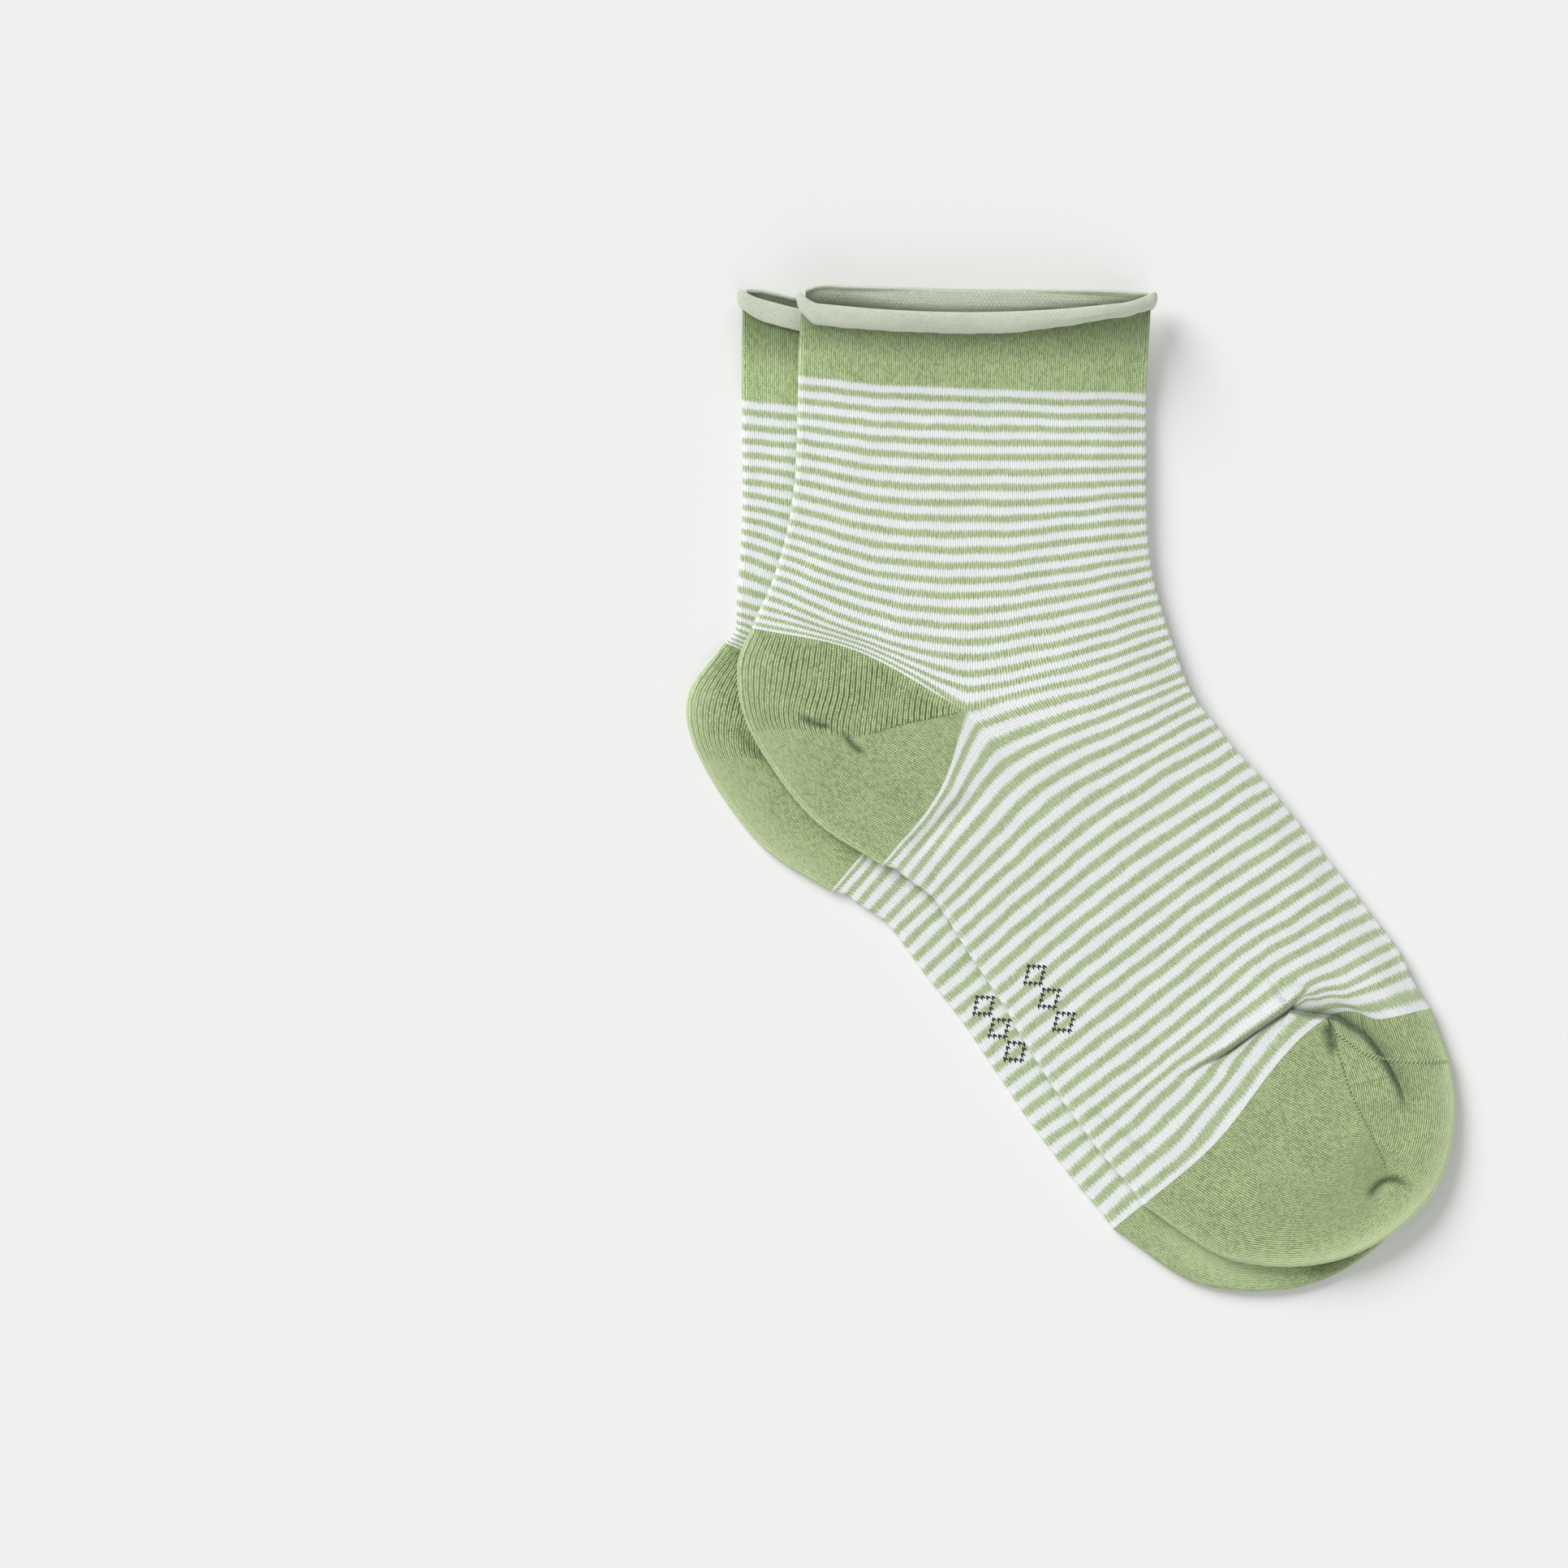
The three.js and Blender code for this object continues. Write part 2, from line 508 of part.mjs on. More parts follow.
// The under sock's outline, which the upper sock lies on and drapes beside
function outline(sock) {
  return [
    ...spread(rimCourse, heelCourse, 12).map((course) => sock.plan(course, 0, false)),
    ...spread(0.1, 1, 9).map((along) => sock.heelPlan(0, along)),
    ...spread(heelCourse + 1, toeCourse, 12).map((course) => sock.plan(course, 0, true)),
    ...spread(0.06, 1, 14).map((along) => sock.toePlan(0, along)),
    ...spread(toeCourse, rimCourse, 24).map((course) => sock.plan(course, 1, course > heelCourse)),
  ];
}
const underOutline = outline(underSock);

// 1 on the under sock, falling to 0 beside it
function drape(p) {
  let inside = false;
  let distance = Infinity;
  underOutline.forEach((a, i) => {
    const b = underOutline[(i + 1) % underOutline.length];
    if ((a[1] > p[1]) !== (b[1] > p[1]) && p[0] < ((b[0] - a[0]) * (p[1] - a[1])) / (b[1] - a[1]) + a[0]) inside = !inside;
    distance = Math.min(distance, lineReach([a, b], p).distance);
  });
  return inside ? 1 : 1 - smoothStep((distance - seamGap) / drapeReach);
}

const upperSock = makeSock({
  legRows,
  footRows,
  heelWales,
  toeWales,
  folds: upperFolds,
  mouthGap: mouthGapUpper,
  cuffPuff: puffHeight,
  topRoll: rollThickness,
  rimLead: 6.2,
  base: (p, course) => {
    const cuff = upperSock.cuffShare(course);
    const underHeight = 2 * foldRadius + puffHeight + seamGap;
    return rollLift * cuff + drape(p) * (underHeight + cuffStack * cuff);
  },
});

function addPiece(group, name, geometry, finish) {
  const mesh = new THREE.Mesh(geometry, new THREE.MeshStandardMaterial(finish));
  mesh.name = name;
  group.add(mesh);
}

function buildSock(name, sock) {
  const group = new THREE.Group();
  const bandStart = rimCourse + (rollTurn + 2 * seamGap) / stripePitch;
  const bandEnd = bandEndCourse - seamGap / stripePitch;
  const heelSteps = spread(0, 1, 10);
  const toeSteps = [...spread(0, 1, 14), 1.25, 1.5, 1.75, 2];
  addPiece(group, `${name}_rolled_edge`, rollPiece(sock), paleGreenYarn);
  addPiece(group, `${name}_cuff_band`, tubePiece(sock, spread(bandStart, bandEnd, 4)), greenYarn);
  addPiece(group, `${name}_leg_and_foot`, legAndFootPiece(sock), stripedYarn);
  addPiece(group, `${name}_heel`, pouchPiece(sock, sock.heelPlan, heelSteps, heelCourse, heelCornerStep), greenYarn);
  addPiece(group, `${name}_toe`, pouchPiece(sock, sock.toePlan, toeSteps, toeCourse, toeCornerStep), greenYarn);
  return group;
}

const socks = new THREE.Group();
socks.add(buildSock('under_sock', underSock));
socks.add(buildSock('upper_sock', upperSock));
const middle = new THREE.Box3().setFromObject(socks).getCenter(new THREE.Vector3());
socks.position.set(-middle.x, -middle.y, 0);

export default socks;
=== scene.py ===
import math

import bpy
import numpy as np
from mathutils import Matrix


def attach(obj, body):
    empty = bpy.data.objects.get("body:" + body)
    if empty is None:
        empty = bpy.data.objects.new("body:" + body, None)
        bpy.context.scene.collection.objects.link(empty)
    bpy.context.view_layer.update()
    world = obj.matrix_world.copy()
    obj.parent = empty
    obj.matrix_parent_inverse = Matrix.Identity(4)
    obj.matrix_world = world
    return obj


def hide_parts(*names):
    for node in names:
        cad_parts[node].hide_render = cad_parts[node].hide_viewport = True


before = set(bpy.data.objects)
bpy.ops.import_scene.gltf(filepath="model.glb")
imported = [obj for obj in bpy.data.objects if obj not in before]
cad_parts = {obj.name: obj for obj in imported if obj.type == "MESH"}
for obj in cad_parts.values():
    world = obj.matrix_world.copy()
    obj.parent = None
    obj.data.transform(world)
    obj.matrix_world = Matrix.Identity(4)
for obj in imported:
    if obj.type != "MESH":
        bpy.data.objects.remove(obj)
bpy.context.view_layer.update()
scene = bpy.context.scene
mm = 0.001

# ---------------------------------------------------------------- the lie of the socks, in mm
# x to the right of the picture, y up it, and the floor at z = 0

cloth = {
    "thickness": 1.0,
    "foldRadius": 1.3,
    "seamGap": 0.3,
    "rimCourse": -5.7,  # courses are counted in stripes, down from the first white one
    "bandEnd": 0.2,
    "heelCourse": 21.7,
    "toeCourse": 47.7,
    "stripePitch": 3.24,
    "rowsPerStripe": 5,
    "walesPerLayer": 84,
    "cuffFade": 8,
    "rollLift": 1.68,
    "cuffStack": 3.9,
    "mouthClimb": 0.4,
    "puff": 0.9,
    "legDrape": 26, "toeDrape": 12,
    "frameShift": (0.228, 0.105),
}

# course, then x and y at the back fold, a quarter across, the middle, three quarters, the front fold
legRows = [
    (-5.7, -66.8, 119.8, -45.6, 117.8, -24.0, 117.2, -2.4, 118.0, 19.8, 120.4),
    (0.2, -67.4, 102.0, -46.0, 100.0, -24.6, 99.0, -3.2, 98.4, 18.4, 98.0),
    (4.0, -67.6, 89.4, -46.0, 86.6, -24.6, 85.6, -3.2, 85.4, 18.4, 85.6),
    (8.0, -68.2, 76.2, -46.6, 71.8, -24.8, 70.8, -3.4, 71.4, 18.4, 73.0),
    (12.0, -70.2, 63.4, -48.0, 57.0, -25.0, 55.4, -3.0, 57.4, 19.0, 60.4),
    (15.0, -72.4, 55.2, -49.6, 47.2, -25.4, 44.2, -1.2, 47.6, 20.2, 52.0),
    (18.0, -75.2, 47.8, -51.2, 38.4, -25.6, 32.8, 1.2, 37.4, 22.6, 43.4),
    (20.0, -77.4, 43.2, -52.0, 35.8, -25.6, 25.2, 3.4, 31.2, 24.4, 37.8),
    (21.7, -78.8, 39.8, -52.6, 34.0, -26.0, 19.2, 5.4, 25.6, 26.0, 33.4),
]
footRows = [
    (21.7, -47.0, -18.6, -32.8, -0.8, -26.0, 19.2, 5.4, 25.6, 26.0, 33.4),
    (22.3, -45.4, -18.8, -31.2, -2.4, -23.0, 15.4, 6.4, 23.8, 26.6, 31.4),
    (23.0, -43.2, -19.6, -29.6, -3.8, -19.0, 11.6, 7.6, 21.4, 27.4, 29.0),
    (24.0, -40.6, -21.8, -27.4, -6.0, -15.2, 8.0, 9.4, 18.4, 28.4, 26.6),
    (26.0, -34.6, -26.2, -21.8, -12.8, -7.8, 1.2, 13.4, 12.2, 31.2, 21.4),
    (28.0, -30.4, -32.2, -16.2, -19.4, -0.4, -5.4, 17.8, 6.0, 35.6, 16.0),
    (30.0, -26.0, -39.4, -10.8, -25.6, 7.0, -11.6, 22.8, -1.0, 40.4, 9.8),
    (32.0, -21.4, -46.2, -5.0, -32.2, 14.2, -17.4, 30.2, -6.8, 46.4, 3.6),
    (34.0, -16.8, -53.2, 0.6, -39.0, 21.2, -23.2, 36.4, -12.8, 51.6, -2.8),
    (36.0, -12.8, -60.2, 5.8, -46.0, 28.0, -28.8, 42.6, -18.8, 57.0, -9.4),
    (38.0, -8.2, -67.6, 11.0, -52.6, 34.6, -34.4, 48.6, -25.0, 62.4, -16.2),
    (40.0, -3.8, -74.6, 16.2, -59.6, 41.2, -39.8, 54.6, -31.2, 67.8, -22.8),
    (42.0, 1.4, -81.8, 21.4, -66.6, 47.4, -45.0, 60.6, -37.2, 73.6, -30.4),
    (44.0, 6.8, -89.0, 25.6, -72.6, 54.0, -50.4, 66.0, -44.4, 79.2, -37.6),
    (45.4, 10.8, -94.0, 29.4, -78.0, 56.6, -53.0, 68.6, -48.8, 82.2, -42.4),
    (46.3, 13.8, -97.4, 32.0, -80.8, 57.6, -54.2, 69.6, -51.0, 83.6, -46.0),
    (47.7, 17.4, -102.4, 38.4, -84.4, 63.6, -56.6, 76.0, -56.4, 88.4, -53.8),
]
stationShares = np.array([0.0, 0.25, 0.5, 0.75, 1.0])

# Wales of the pouches, nested: share 0 along the outline, 1 at the corner of the opening.
# share, then x and y one quarter down, at the gore line and three quarters down
heelWales = [
    (0.0, -82.4, 29.6, -79.0, 14.0, -64.4, -6.6),
    (0.25, -67.4, 27.4, -68.4, 15.0, -57.0, 1.0),
    (0.5, -53.4, 23.4, -54.8, 12.8, -44.6, 5.4),
    (0.75, -40.4, 22.2, -41.0, 16.2, -35.0, 13.0),
    (1.0, -26.0, 19.2, -26.0, 19.2, -26.0, 19.2),
]
heelKnots = [0, 0.25, 0.5, 0.75, 1]
# share, then x and y on the way to the gore line, on it, after it, near the tip and at the toe seam
toeWales = [
    (0.0, 39.6, -115.8, 67.0, -115.4, 90.0, -97.8, 94.6, -79.6, 93.2, -66.8),
    (0.25, 46.4, -104.4, 77.0, -96.8, 84.4, -88.4, 87.4, -77.6, 85.6, -67.0),
    (0.5, 53.4, -91.4, 74.0, -85.6, 77.2, -80.6, 79.2, -73.6, 77.6, -66.4),
    (0.75, 59.0, -74.8, 68.6, -74.4, 70.8, -71.4, 72.0, -68.0, 71.2, -64.6),
    (1.0, 63.7, -57.4, 64.4, -60.4, 65.0, -61.2, 65.0, -60.6, 64.4, -59.4),
]
toeKnots = [0, 0.22, 0.45, 0.7, 0.87, 1]

# How far the under sock's courses lie from the upper one's: course, x, y, then the pull on its back
underShifts = [
    (-5.7, -14.4, -0.8, 0, 3),
    (0.2, -13.8, -5.8, 0, 0),
    (8, -13.2, -6, 0.4, 0),
    (12, -13, -6, 1.6, 0),
    (16, -12.8, -6.2, 3.4, -3),
    (19, -12.6, -6.4, 5.8, -0.6),
    (21.7, -12.4, -6.4, 5.8, 2.8),
    (28, -11, -5.8, 0, 0),
    (36, -8.8, -4.8, 0, 0),
    (47.7, -7.2, -5.8, 0, 0),
]
underHeelShift = (-12.2, -7)
underToeShift = (-7.4, -6.2)

# The crease above the toe, into which the stripes vanish
toeCrease = [(26.6, -71.8), (32, -67.8), (38, -64.6), (44, -60.4), (49, -57), (53.4, -54), (56, -51.4), (59, -49)]

# Folds: a line in mm, the rise on its left side and how far it reaches, the trough along the line, its width, how dark
# the painted shade along the line is, the painted shadow cast on its low side (amount and reach in mm), and the shares
# of the line over which it fades in and out
upperFolds = {
    "toe overlap": {"line": toeCrease[:6], "rise": 1.3, "reach": 8, "trough": 0.9, "width": 0.6,
                    "dark": 0.9, "cast": (0.4, 1.6), "fade": (0.5, 0.02)},
    "overlap fork": {"line": toeCrease[4:], "rise": 0.4, "reach": 5, "trough": 0.6, "width": 0.55,
                     "dark": 0.6, "fade": (0.2, 0.7)},
    "toe lobe": {"line": [(83, -80.4), (81.6, -77), (80, -72.4), (76, -65.4), (72, -60.4),
                          (68, -57.8), (65, -56), (60, -55.4), (56, -54.8), (53.4, -54)],
                 "rise": 2.1, "reach": 5, "trough": 1.3, "width": 1.0, "dark": 1.2,
                 "cast": (0.85, 2.6), "fade": (0.3, 0.02)},
    "heel valley": {"line": [(-43, -17.4), (-34, -10), (-26, -3), (-20, 4)],
                    "rise": 0, "reach": 5, "trough": 0.8, "width": 2.4, "dark": 0.12, "fade": (0.2, 0.5)},
    "ankle furrow": {"line": [(-73, 45), (-62, 39.5), (-50, 35.4), (-36, 28)],
                     "rise": 0, "reach": 5, "trough": 0.55, "width": 2.2, "dark": 0.1, "fade": (0.3, 0.4)},
    "ankle ripple": {"line": [(-66, 47), (-54, 42), (-40, 36)],
                     "rise": 0, "reach": 5, "trough": 0.3, "width": 1.8, "dark": 0.05, "fade": (0.4, 0.4)},
    "heel pucker": {"line": [(-67.4, 18.6), (-64.6, 16.8), (-61.6, 15.8), (-58, 14.8)],
                    "rise": 0.2, "reach": 3, "trough": 1.25, "width": 0.8, "dark": 0.75, "fade": (0.3, 0.3)},
    "heel pucker two": {"line": [(-56.4, 14.6), (-54.6, 12), (-52.6, 9.8), (-49.6, 8.6)],
                        "rise": 0.3, "reach": 2.5, "trough": 1.2, "width": 0.95, "dark": 0.9, "fade": (0.3, 0.3)},
    "pucker bridge": {"line": [(-61, 15.6), (-57.6, 14.2), (-54.6, 12)],
                      "rise": 0, "reach": 3, "trough": 0.35, "width": 1.0, "dark": 0.15, "fade": (0.3, 0.3)},
    "toe pucker": {"line": [(62.8, -57), (63.8, -60), (64.4, -63.4), (64.6, -67.4)],
                   "rise": 0.5, "reach": 2.5, "trough": 1.7, "width": 1.4, "dark": 0.85, "fade": (0.25, 0.4)},
    "tip pucker": {"line": [(72.6, -101.6), (74.2, -98.4), (76.4, -96.4), (79.2, -95.8), (82, -97), (84.4, -98.8)],
                   "rise": -0.8, "reach": 3, "trough": 1.25, "width": 0.95, "dark": 1.0, "fade": (0.2, 0.4)},
    "sole kink": {"line": [(-2, -73.4), (8, -81), (16, -87.4), (24, -95.4)],
                  "rise": 0.12, "reach": 6, "trough": 0.25, "width": 0.9, "dark": 0.12, "fade": (0.3, 0.3)},
}
underFolds = {
    "under heel crease": {"line": [(-84, 17), (-79, 11), (-74, 7), (-68, 0)],
                          "rise": 0, "reach": 4, "trough": 0.9, "width": 1.6, "dark": 0.5, "fade": (0.2, 0.2)},
    "under ankle fold": {"line": [(-83, 34.6), (-79, 31), (-72, 28)],
                         "rise": 0, "reach": 3, "trough": 0.8, "width": 1.2, "dark": 0.6, "fade": (0.2, 0.2)},
}


def smoothStep(x):
    t = np.clip(x, 0, 1)
    return t * t * (3 - 2 * t)


def curveThrough(knots, values, at):  # smooth curve with three-point slopes; values may be points
    knots = np.asarray(knots, float)
    values = np.asarray(values, float)
    at = np.asarray(at, float)
    steps = np.diff(knots)
    extra = (1,) * (values.ndim - 1)
    rates = np.diff(values, axis=0) / steps.reshape(-1, *extra)
    slopes = np.empty_like(values)
    slopes[0], slopes[-1] = rates[0], rates[-1]
    before = steps[:-1].reshape(-1, *extra)
    after = steps[1:].reshape(-1, *extra)
    slopes[1:-1] = (rates[:-1] * after + rates[1:] * before) / (before + after)
    i = np.clip(np.searchsorted(knots, at, side="left") - 1, 0, len(steps) - 1)
    span = steps[i].reshape(-1, *extra)
    t = (at.reshape(-1, *extra) - knots[i].reshape(-1, *extra)) / span
    return ((2 * t**3 - 3 * t**2 + 1) * values[i] + (t**3 - 2 * t**2 + t) * span * slopes[i]
            + (3 * t**2 - 2 * t**3) * values[i + 1] + (t**3 - t**2) * span * slopes[i + 1])


def lineReach(line, points):  # signed distance to a line, left of it positive, and the share along it
    line = np.asarray(line, float)
    best = np.full(len(points), np.inf)
    side = np.ones(len(points))
    share = np.zeros(len(points))
    for i in range(len(line) - 1):
        along = line[i + 1] - line[i]
        gap = points - line[i]
        t = np.clip(gap @ along / (along @ along), 0, 1)
        distance = np.linalg.norm(gap - t[:, None] * along, axis=1)
        near = distance < best
        best = np.where(near, distance, best)
        side = np.where(near, np.where(along[0] * gap[:, 1] - along[1] * gap[:, 0] >= 0, 1, -1), side)
        share = np.where(near, (i + t) / (len(line) - 1), share)
    return best, side, share


def pinchInto(line, settings, points):  # draws points towards a crease, so that rows vanish into it
    flat = points.reshape(-1, 2)
    distance, side, share = lineReach(line, flat)
    fadeIn, fadeOut = settings["fade"]
    ends = smoothStep(share / fadeIn) * smoothStep((1 - share) / fadeOut)
    near = np.clip(distance / settings["reach"], 1e-6, 1)
    line = np.asarray(line, float)
    spot = share * (len(line) - 1)
    i = np.clip(spot.astype(int), 0, len(line) - 2)
    foot = line[i] + (spot - i)[:, None] * (line[i + 1] - line[i])
    pull = near ** (ends * settings["power"])
    return (foot + (flat - foot) * pull[:, None]).reshape(points.shape)


def insideOf(outline, points):
    inside = np.zeros(len(points), bool)
    for a, b in zip(outline, np.roll(outline, -1, axis=0)):
        crosses = (a[1] > points[:, 1]) != (b[1] > points[:, 1])
        edge = (b[0] - a[0]) * (points[:, 1] - a[1]) / ((b[1] - a[1]) or 1e-9) + a[0]
        inside ^= crosses & (points[:, 0] < edge)
    return inside


toeEdgePull = np.array([-1.7, 1.2])  # mm, of the last rows before the toe's edge
pinchSettings = {"reach": 5.0, "power": 1.1, "fade": (0.35, 0.12)}


def foldRelief(folds, points):
    total = np.zeros(len(points))
    for fold in folds.values():
        distance, side, share = lineReach(fold["line"], points)
        signed = distance * side
        fadeIn, fadeOut = fold["fade"]
        ends = smoothStep(share / fadeIn) * smoothStep((1 - share) / fadeOut)
        rise = fold["rise"] * smoothStep(signed / fold["width"] + 0.5)
        rise = rise * np.exp(-np.maximum(0, signed) / fold["reach"])
        trough = fold["trough"] * np.exp(-((distance / fold["width"]) ** 2))
        runOut = np.exp(-((np.maximum(0, distance - fold["reach"]) / fold["reach"]) ** 2))
        total += ends * (rise * runOut - trough)
    return total


def softWaves(points):  # the slight unevenness of worn-in cloth
    x, y = points[:, 0], points[:, 1]
    return (0.10 * np.sin(0.23 * x + 0.11 * y + 1.3) * np.sin(0.17 * y - 0.05 * x)
            + 0.06 * np.sin(0.41 * x - 0.33 * y + 0.6) + 0.05 * np.sin(0.52 * y + 0.12 * x))


for fold in [*upperFolds.values(), *underFolds.values()]:
    count = len(fold["line"])
    fold["line"] = curveThrough(np.arange(count), np.array(fold["line"], float), np.linspace(0, count - 1, 3 * count))


class Sock:
    def __init__(self, name, **own):
        self.name = name
        self.__dict__.update(own)
        self.creaseLine = [(x + dx, y + dy) for (x, y), (dx, dy) in
                           zip(toeCrease, [self.creaseShift] * len(toeCrease))]
        self.legStations = self.stationTable(self.legRows)
        self.footStations = self.stationTable(self.footRows)
        whole = self.legRows + self.footRows[1:]
        self.wholeStations = self.stationTable(whole)

    @staticmethod
    def stationTable(rows):
        table = np.array(rows, float)
        return table[:, 0], table[:, 1:].reshape(len(rows), 5, 2)

    def rowPoints(self, courses, onFoot):  # the five stations of each course
        knots, points = self.footStations if onFoot else self.legStations
        row = curveThrough(knots, points, courses)
        wholeKnots, wholePoints = self.wholeStations
        row[:, 3:] = curveThrough(wholeKnots, wholePoints, courses)[:, 3:]
        return row

    def plan(self, courses, shares, onFoot):  # courses (n), shares (n, m): points (n, m, 2)
        rows = self.rowPoints(courses, onFoot)
        corner = np.exp(-(((np.asarray(courses) - cloth["heelCourse"]) / 1.7) ** 2))
        out = np.empty((*shares.shape, 2))
        even = np.linspace(0, 1, 65)
        for r, course in enumerate(courses):
            at = shares[r]
            if onFoot:  # the wales are evenly spaced in the middle of the foot
                weight = smoothStep((course - 21.7) / 6) * (1 - smoothStep((course - 42.5) / 5))
                if weight > 0:
                    line = curveThrough(stationShares, rows[r], even)
                    run = np.concatenate([[0], np.cumsum(np.linalg.norm(np.diff(line, axis=0), axis=1))])
                    at = at + weight * (np.interp(at, run / run[-1], even) - at)
            out[r] = curveThrough(stationShares, rows[r], at)
            if corner[r] > 0.01:  # close to the heel's corner the rows turn sharply
                back = curveThrough(stationShares[:3], rows[r, :3], np.minimum(at, 0.5))
                front = curveThrough(stationShares[2:], rows[r, 2:], np.maximum(at, 0.5))
                out[r] += corner[r] * (np.where(at[:, None] < 0.5, back, front) - out[r])
        if onFoot:
            tight = smoothStep((np.asarray(courses) - 41.5) / 6.2)[:, None]
            tight = tight * np.exp(-(((shares - 0.39) / 0.13) ** 2))
            out += tight[..., None] * toeEdgePull
            out = pinchInto(self.creaseLine, pinchSettings, out)
        return out

    def planRow(self, course, shares, onFoot):
        return self.plan(np.array([course]), np.atleast_2d(shares), onFoot)[0]

    def heelPlan(self, shares, alongs):  # shares (m), alongs (n): points (n, m, 2)
        table = np.array(self.heelWales, float)
        inner = curveThrough(table[:, 0], table[:, 1:].reshape(-1, 3, 2), shares)
        top = self.planRow(cloth["heelCourse"], shares / 2, False)
        low = self.planRow(cloth["heelCourse"], shares / 2, True)
        stops = np.concatenate([top[:, None], inner, low[:, None]], axis=1).transpose(1, 0, 2)
        alongs = np.asarray(alongs, float)
        rounded = curveThrough(heelKnots, stops, alongs)
        upper = curveThrough(heelKnots[:3], stops[:3], np.minimum(alongs, 0.5))
        lower = curveThrough(heelKnots[2:], stops[2:], np.maximum(alongs, 0.5))
        turned = np.where(alongs[:, None, None] < 0.5, upper, lower)
        return rounded + smoothStep((shares - 0.35) / 0.3)[:, None] * (turned - rounded)

    def toePlan(self, shares, alongs):
        alongs = np.asarray(alongs, float)
        table = np.array(self.toeWales, float)
        inner = curveThrough(table[:, 0], table[:, 1:].reshape(-1, 5, 2), shares)
        sole = self.planRow(cloth["toeCourse"], shares / 2, True)
        instep = self.planRow(cloth["toeCourse"], 1 - shares / 2, True)
        stops = np.concatenate([sole[:, None], inner], axis=1).transpose(1, 0, 2)
        pouch = curveThrough(toeKnots, stops, np.minimum(alongs, 1))
        t = np.clip(alongs - 1, 0, 1)[:, None, None]
        seam = pouch[-1] if alongs[-1] <= 1 else stops[-1]
        return np.where(t > 0, stops[-1] + (instep - stops[-1]) * t, pouch)

    def cuffShare(self, courses):
        return 1 - smoothStep((courses - cloth["rimCourse"]) / cloth["cuffFade"])

    def mouthShare(self, courses):
        return 1 - smoothStep((courses - cloth["rimCourse"]) / self.mouthFade)

    def topHeight(self, points, courses, edgeShare):  # of the upper layer above the lower one's floor
        fade = smoothStep(edgeShare / 0.12)
        puff = cloth["puff"] + (self.cuffPuff - cloth["puff"]) * self.cuffShare(courses)
        crown = puff * np.sqrt(np.clip(edgeShare / 0.3, 0, 1))
        mouth = self.mouthGap * self.mouthShare(courses) * np.sin(np.pi * np.clip(edgeShare * 2, 0, 1))
        relief = foldRelief(self.folds, points) + softWaves(points)
        return 2 * cloth["foldRadius"] + fade * np.maximum(-0.3, crown + relief) + mouth


def underBase(points, courses):
    return cloth["rollLift"] * underSock.cuffShare(courses)


def upperBase(points, courses):
    cuff = upperSock.cuffShare(courses)
    cuff = cuff + cloth["mouthClimb"] * (1 - smoothStep((courses - cloth["rimCourse"]) / 4))
    distance = np.abs(lineReach(np.vstack([underOutline, underOutline[:1]]), points)[0])
    reach = cloth["toeDrape"] + (cloth["legDrape"] - cloth["toeDrape"]) * (1 - smoothStep((courses - 26) / 14))
    falling = 1 - smoothStep((distance - cloth["seamGap"]) / reach)
    drape = np.where(insideOf(underOutline, points), 1, falling)
    underHeight = 2 * cloth["foldRadius"] + cloth["puff"] + cloth["seamGap"]
    return cloth["rollLift"] * cuff + drape * (underHeight + cloth["cuffStack"] * cuff)


def shiftedRows(rows, onLeg):
    table = np.array(underShifts, float)
    out = []
    for row in rows:
        x, y, pullX, pullY = curveThrough(table[:, 0], table[:, 1:], [row[0]])[0]
        points = [v + (x if i % 2 == 0 else y) for i, v in enumerate(row[1:])]
        if onLeg:
            points[0] += pullX
            points[1] += pullY
        out.append((row[0], *points))
    return out


def shiftedWales(wales, by):
    return [(w[0], *(v + by[i % 2] for i, v in enumerate(w[1:]))) for w in wales]


underSock = Sock(
    "under_sock", legRows=shiftedRows(legRows, True), footRows=shiftedRows(footRows, False),
    heelWales=shiftedWales(heelWales, underHeelShift), toeWales=shiftedWales(toeWales, underToeShift),
    folds=underFolds, base=underBase, mouthGap=0.3, mouthFade=5.9, cuffPuff=0.3, rimLead=3.0,
    rollThickness=1.6, creaseShift=underToeShift, topSteps=40, bottomSteps=12, rowPitch=1.3, fineRowPitch=1.3, waleShift=4,
)
upperSock = Sock(
    "upper_sock", legRows=legRows, footRows=footRows, heelWales=heelWales, toeWales=toeWales,
    folds=upperFolds, base=upperBase, mouthGap=1.9, mouthFade=5.9, cuffPuff=0.9, rimLead=6.2,
    rollThickness=2.2, creaseShift=(0, 0), topSteps=90, bottomSteps=14, rowPitch=1.2, fineRowPitch=0.5, waleShift=0,
)


def outlineOf(sock):
    low, high = cloth["rimCourse"], cloth["heelCourse"]
    zero = np.zeros(1)
    back = [sock.planRow(c, zero, False) for c in np.linspace(low, high, 13)]
    heel = [sock.heelPlan(zero, np.linspace(0.1, 1, 10))[:, 0]]
    sole = [sock.planRow(c, zero, True) for c in np.linspace(high + 1, cloth["toeCourse"], 13)]
    toe = [sock.toePlan(zero, np.linspace(0.06, 1, 15))[:, 0]]
    front = [sock.planRow(c, zero + 1, c > high) for c in np.linspace(cloth["toeCourse"], low, 25)]
    return np.vstack(back + heel + sole + toe + front)


underOutline = outlineOf(underSock)
upperOutline = outlineOf(upperSock)

# ---------------------------------------------------------------- rings and walls


def heights(sock, points, courses, edgeShare, upper):
    flat = points.reshape(-1, 2)
    course = np.broadcast_to(courses, points.shape[:-1]).reshape(-1)
    floor = sock.base(flat, course)
    if upper:
        floor = floor + sock.topHeight(flat, course, edgeShare.reshape(-1))
    return floor.reshape(points.shape[:-1])


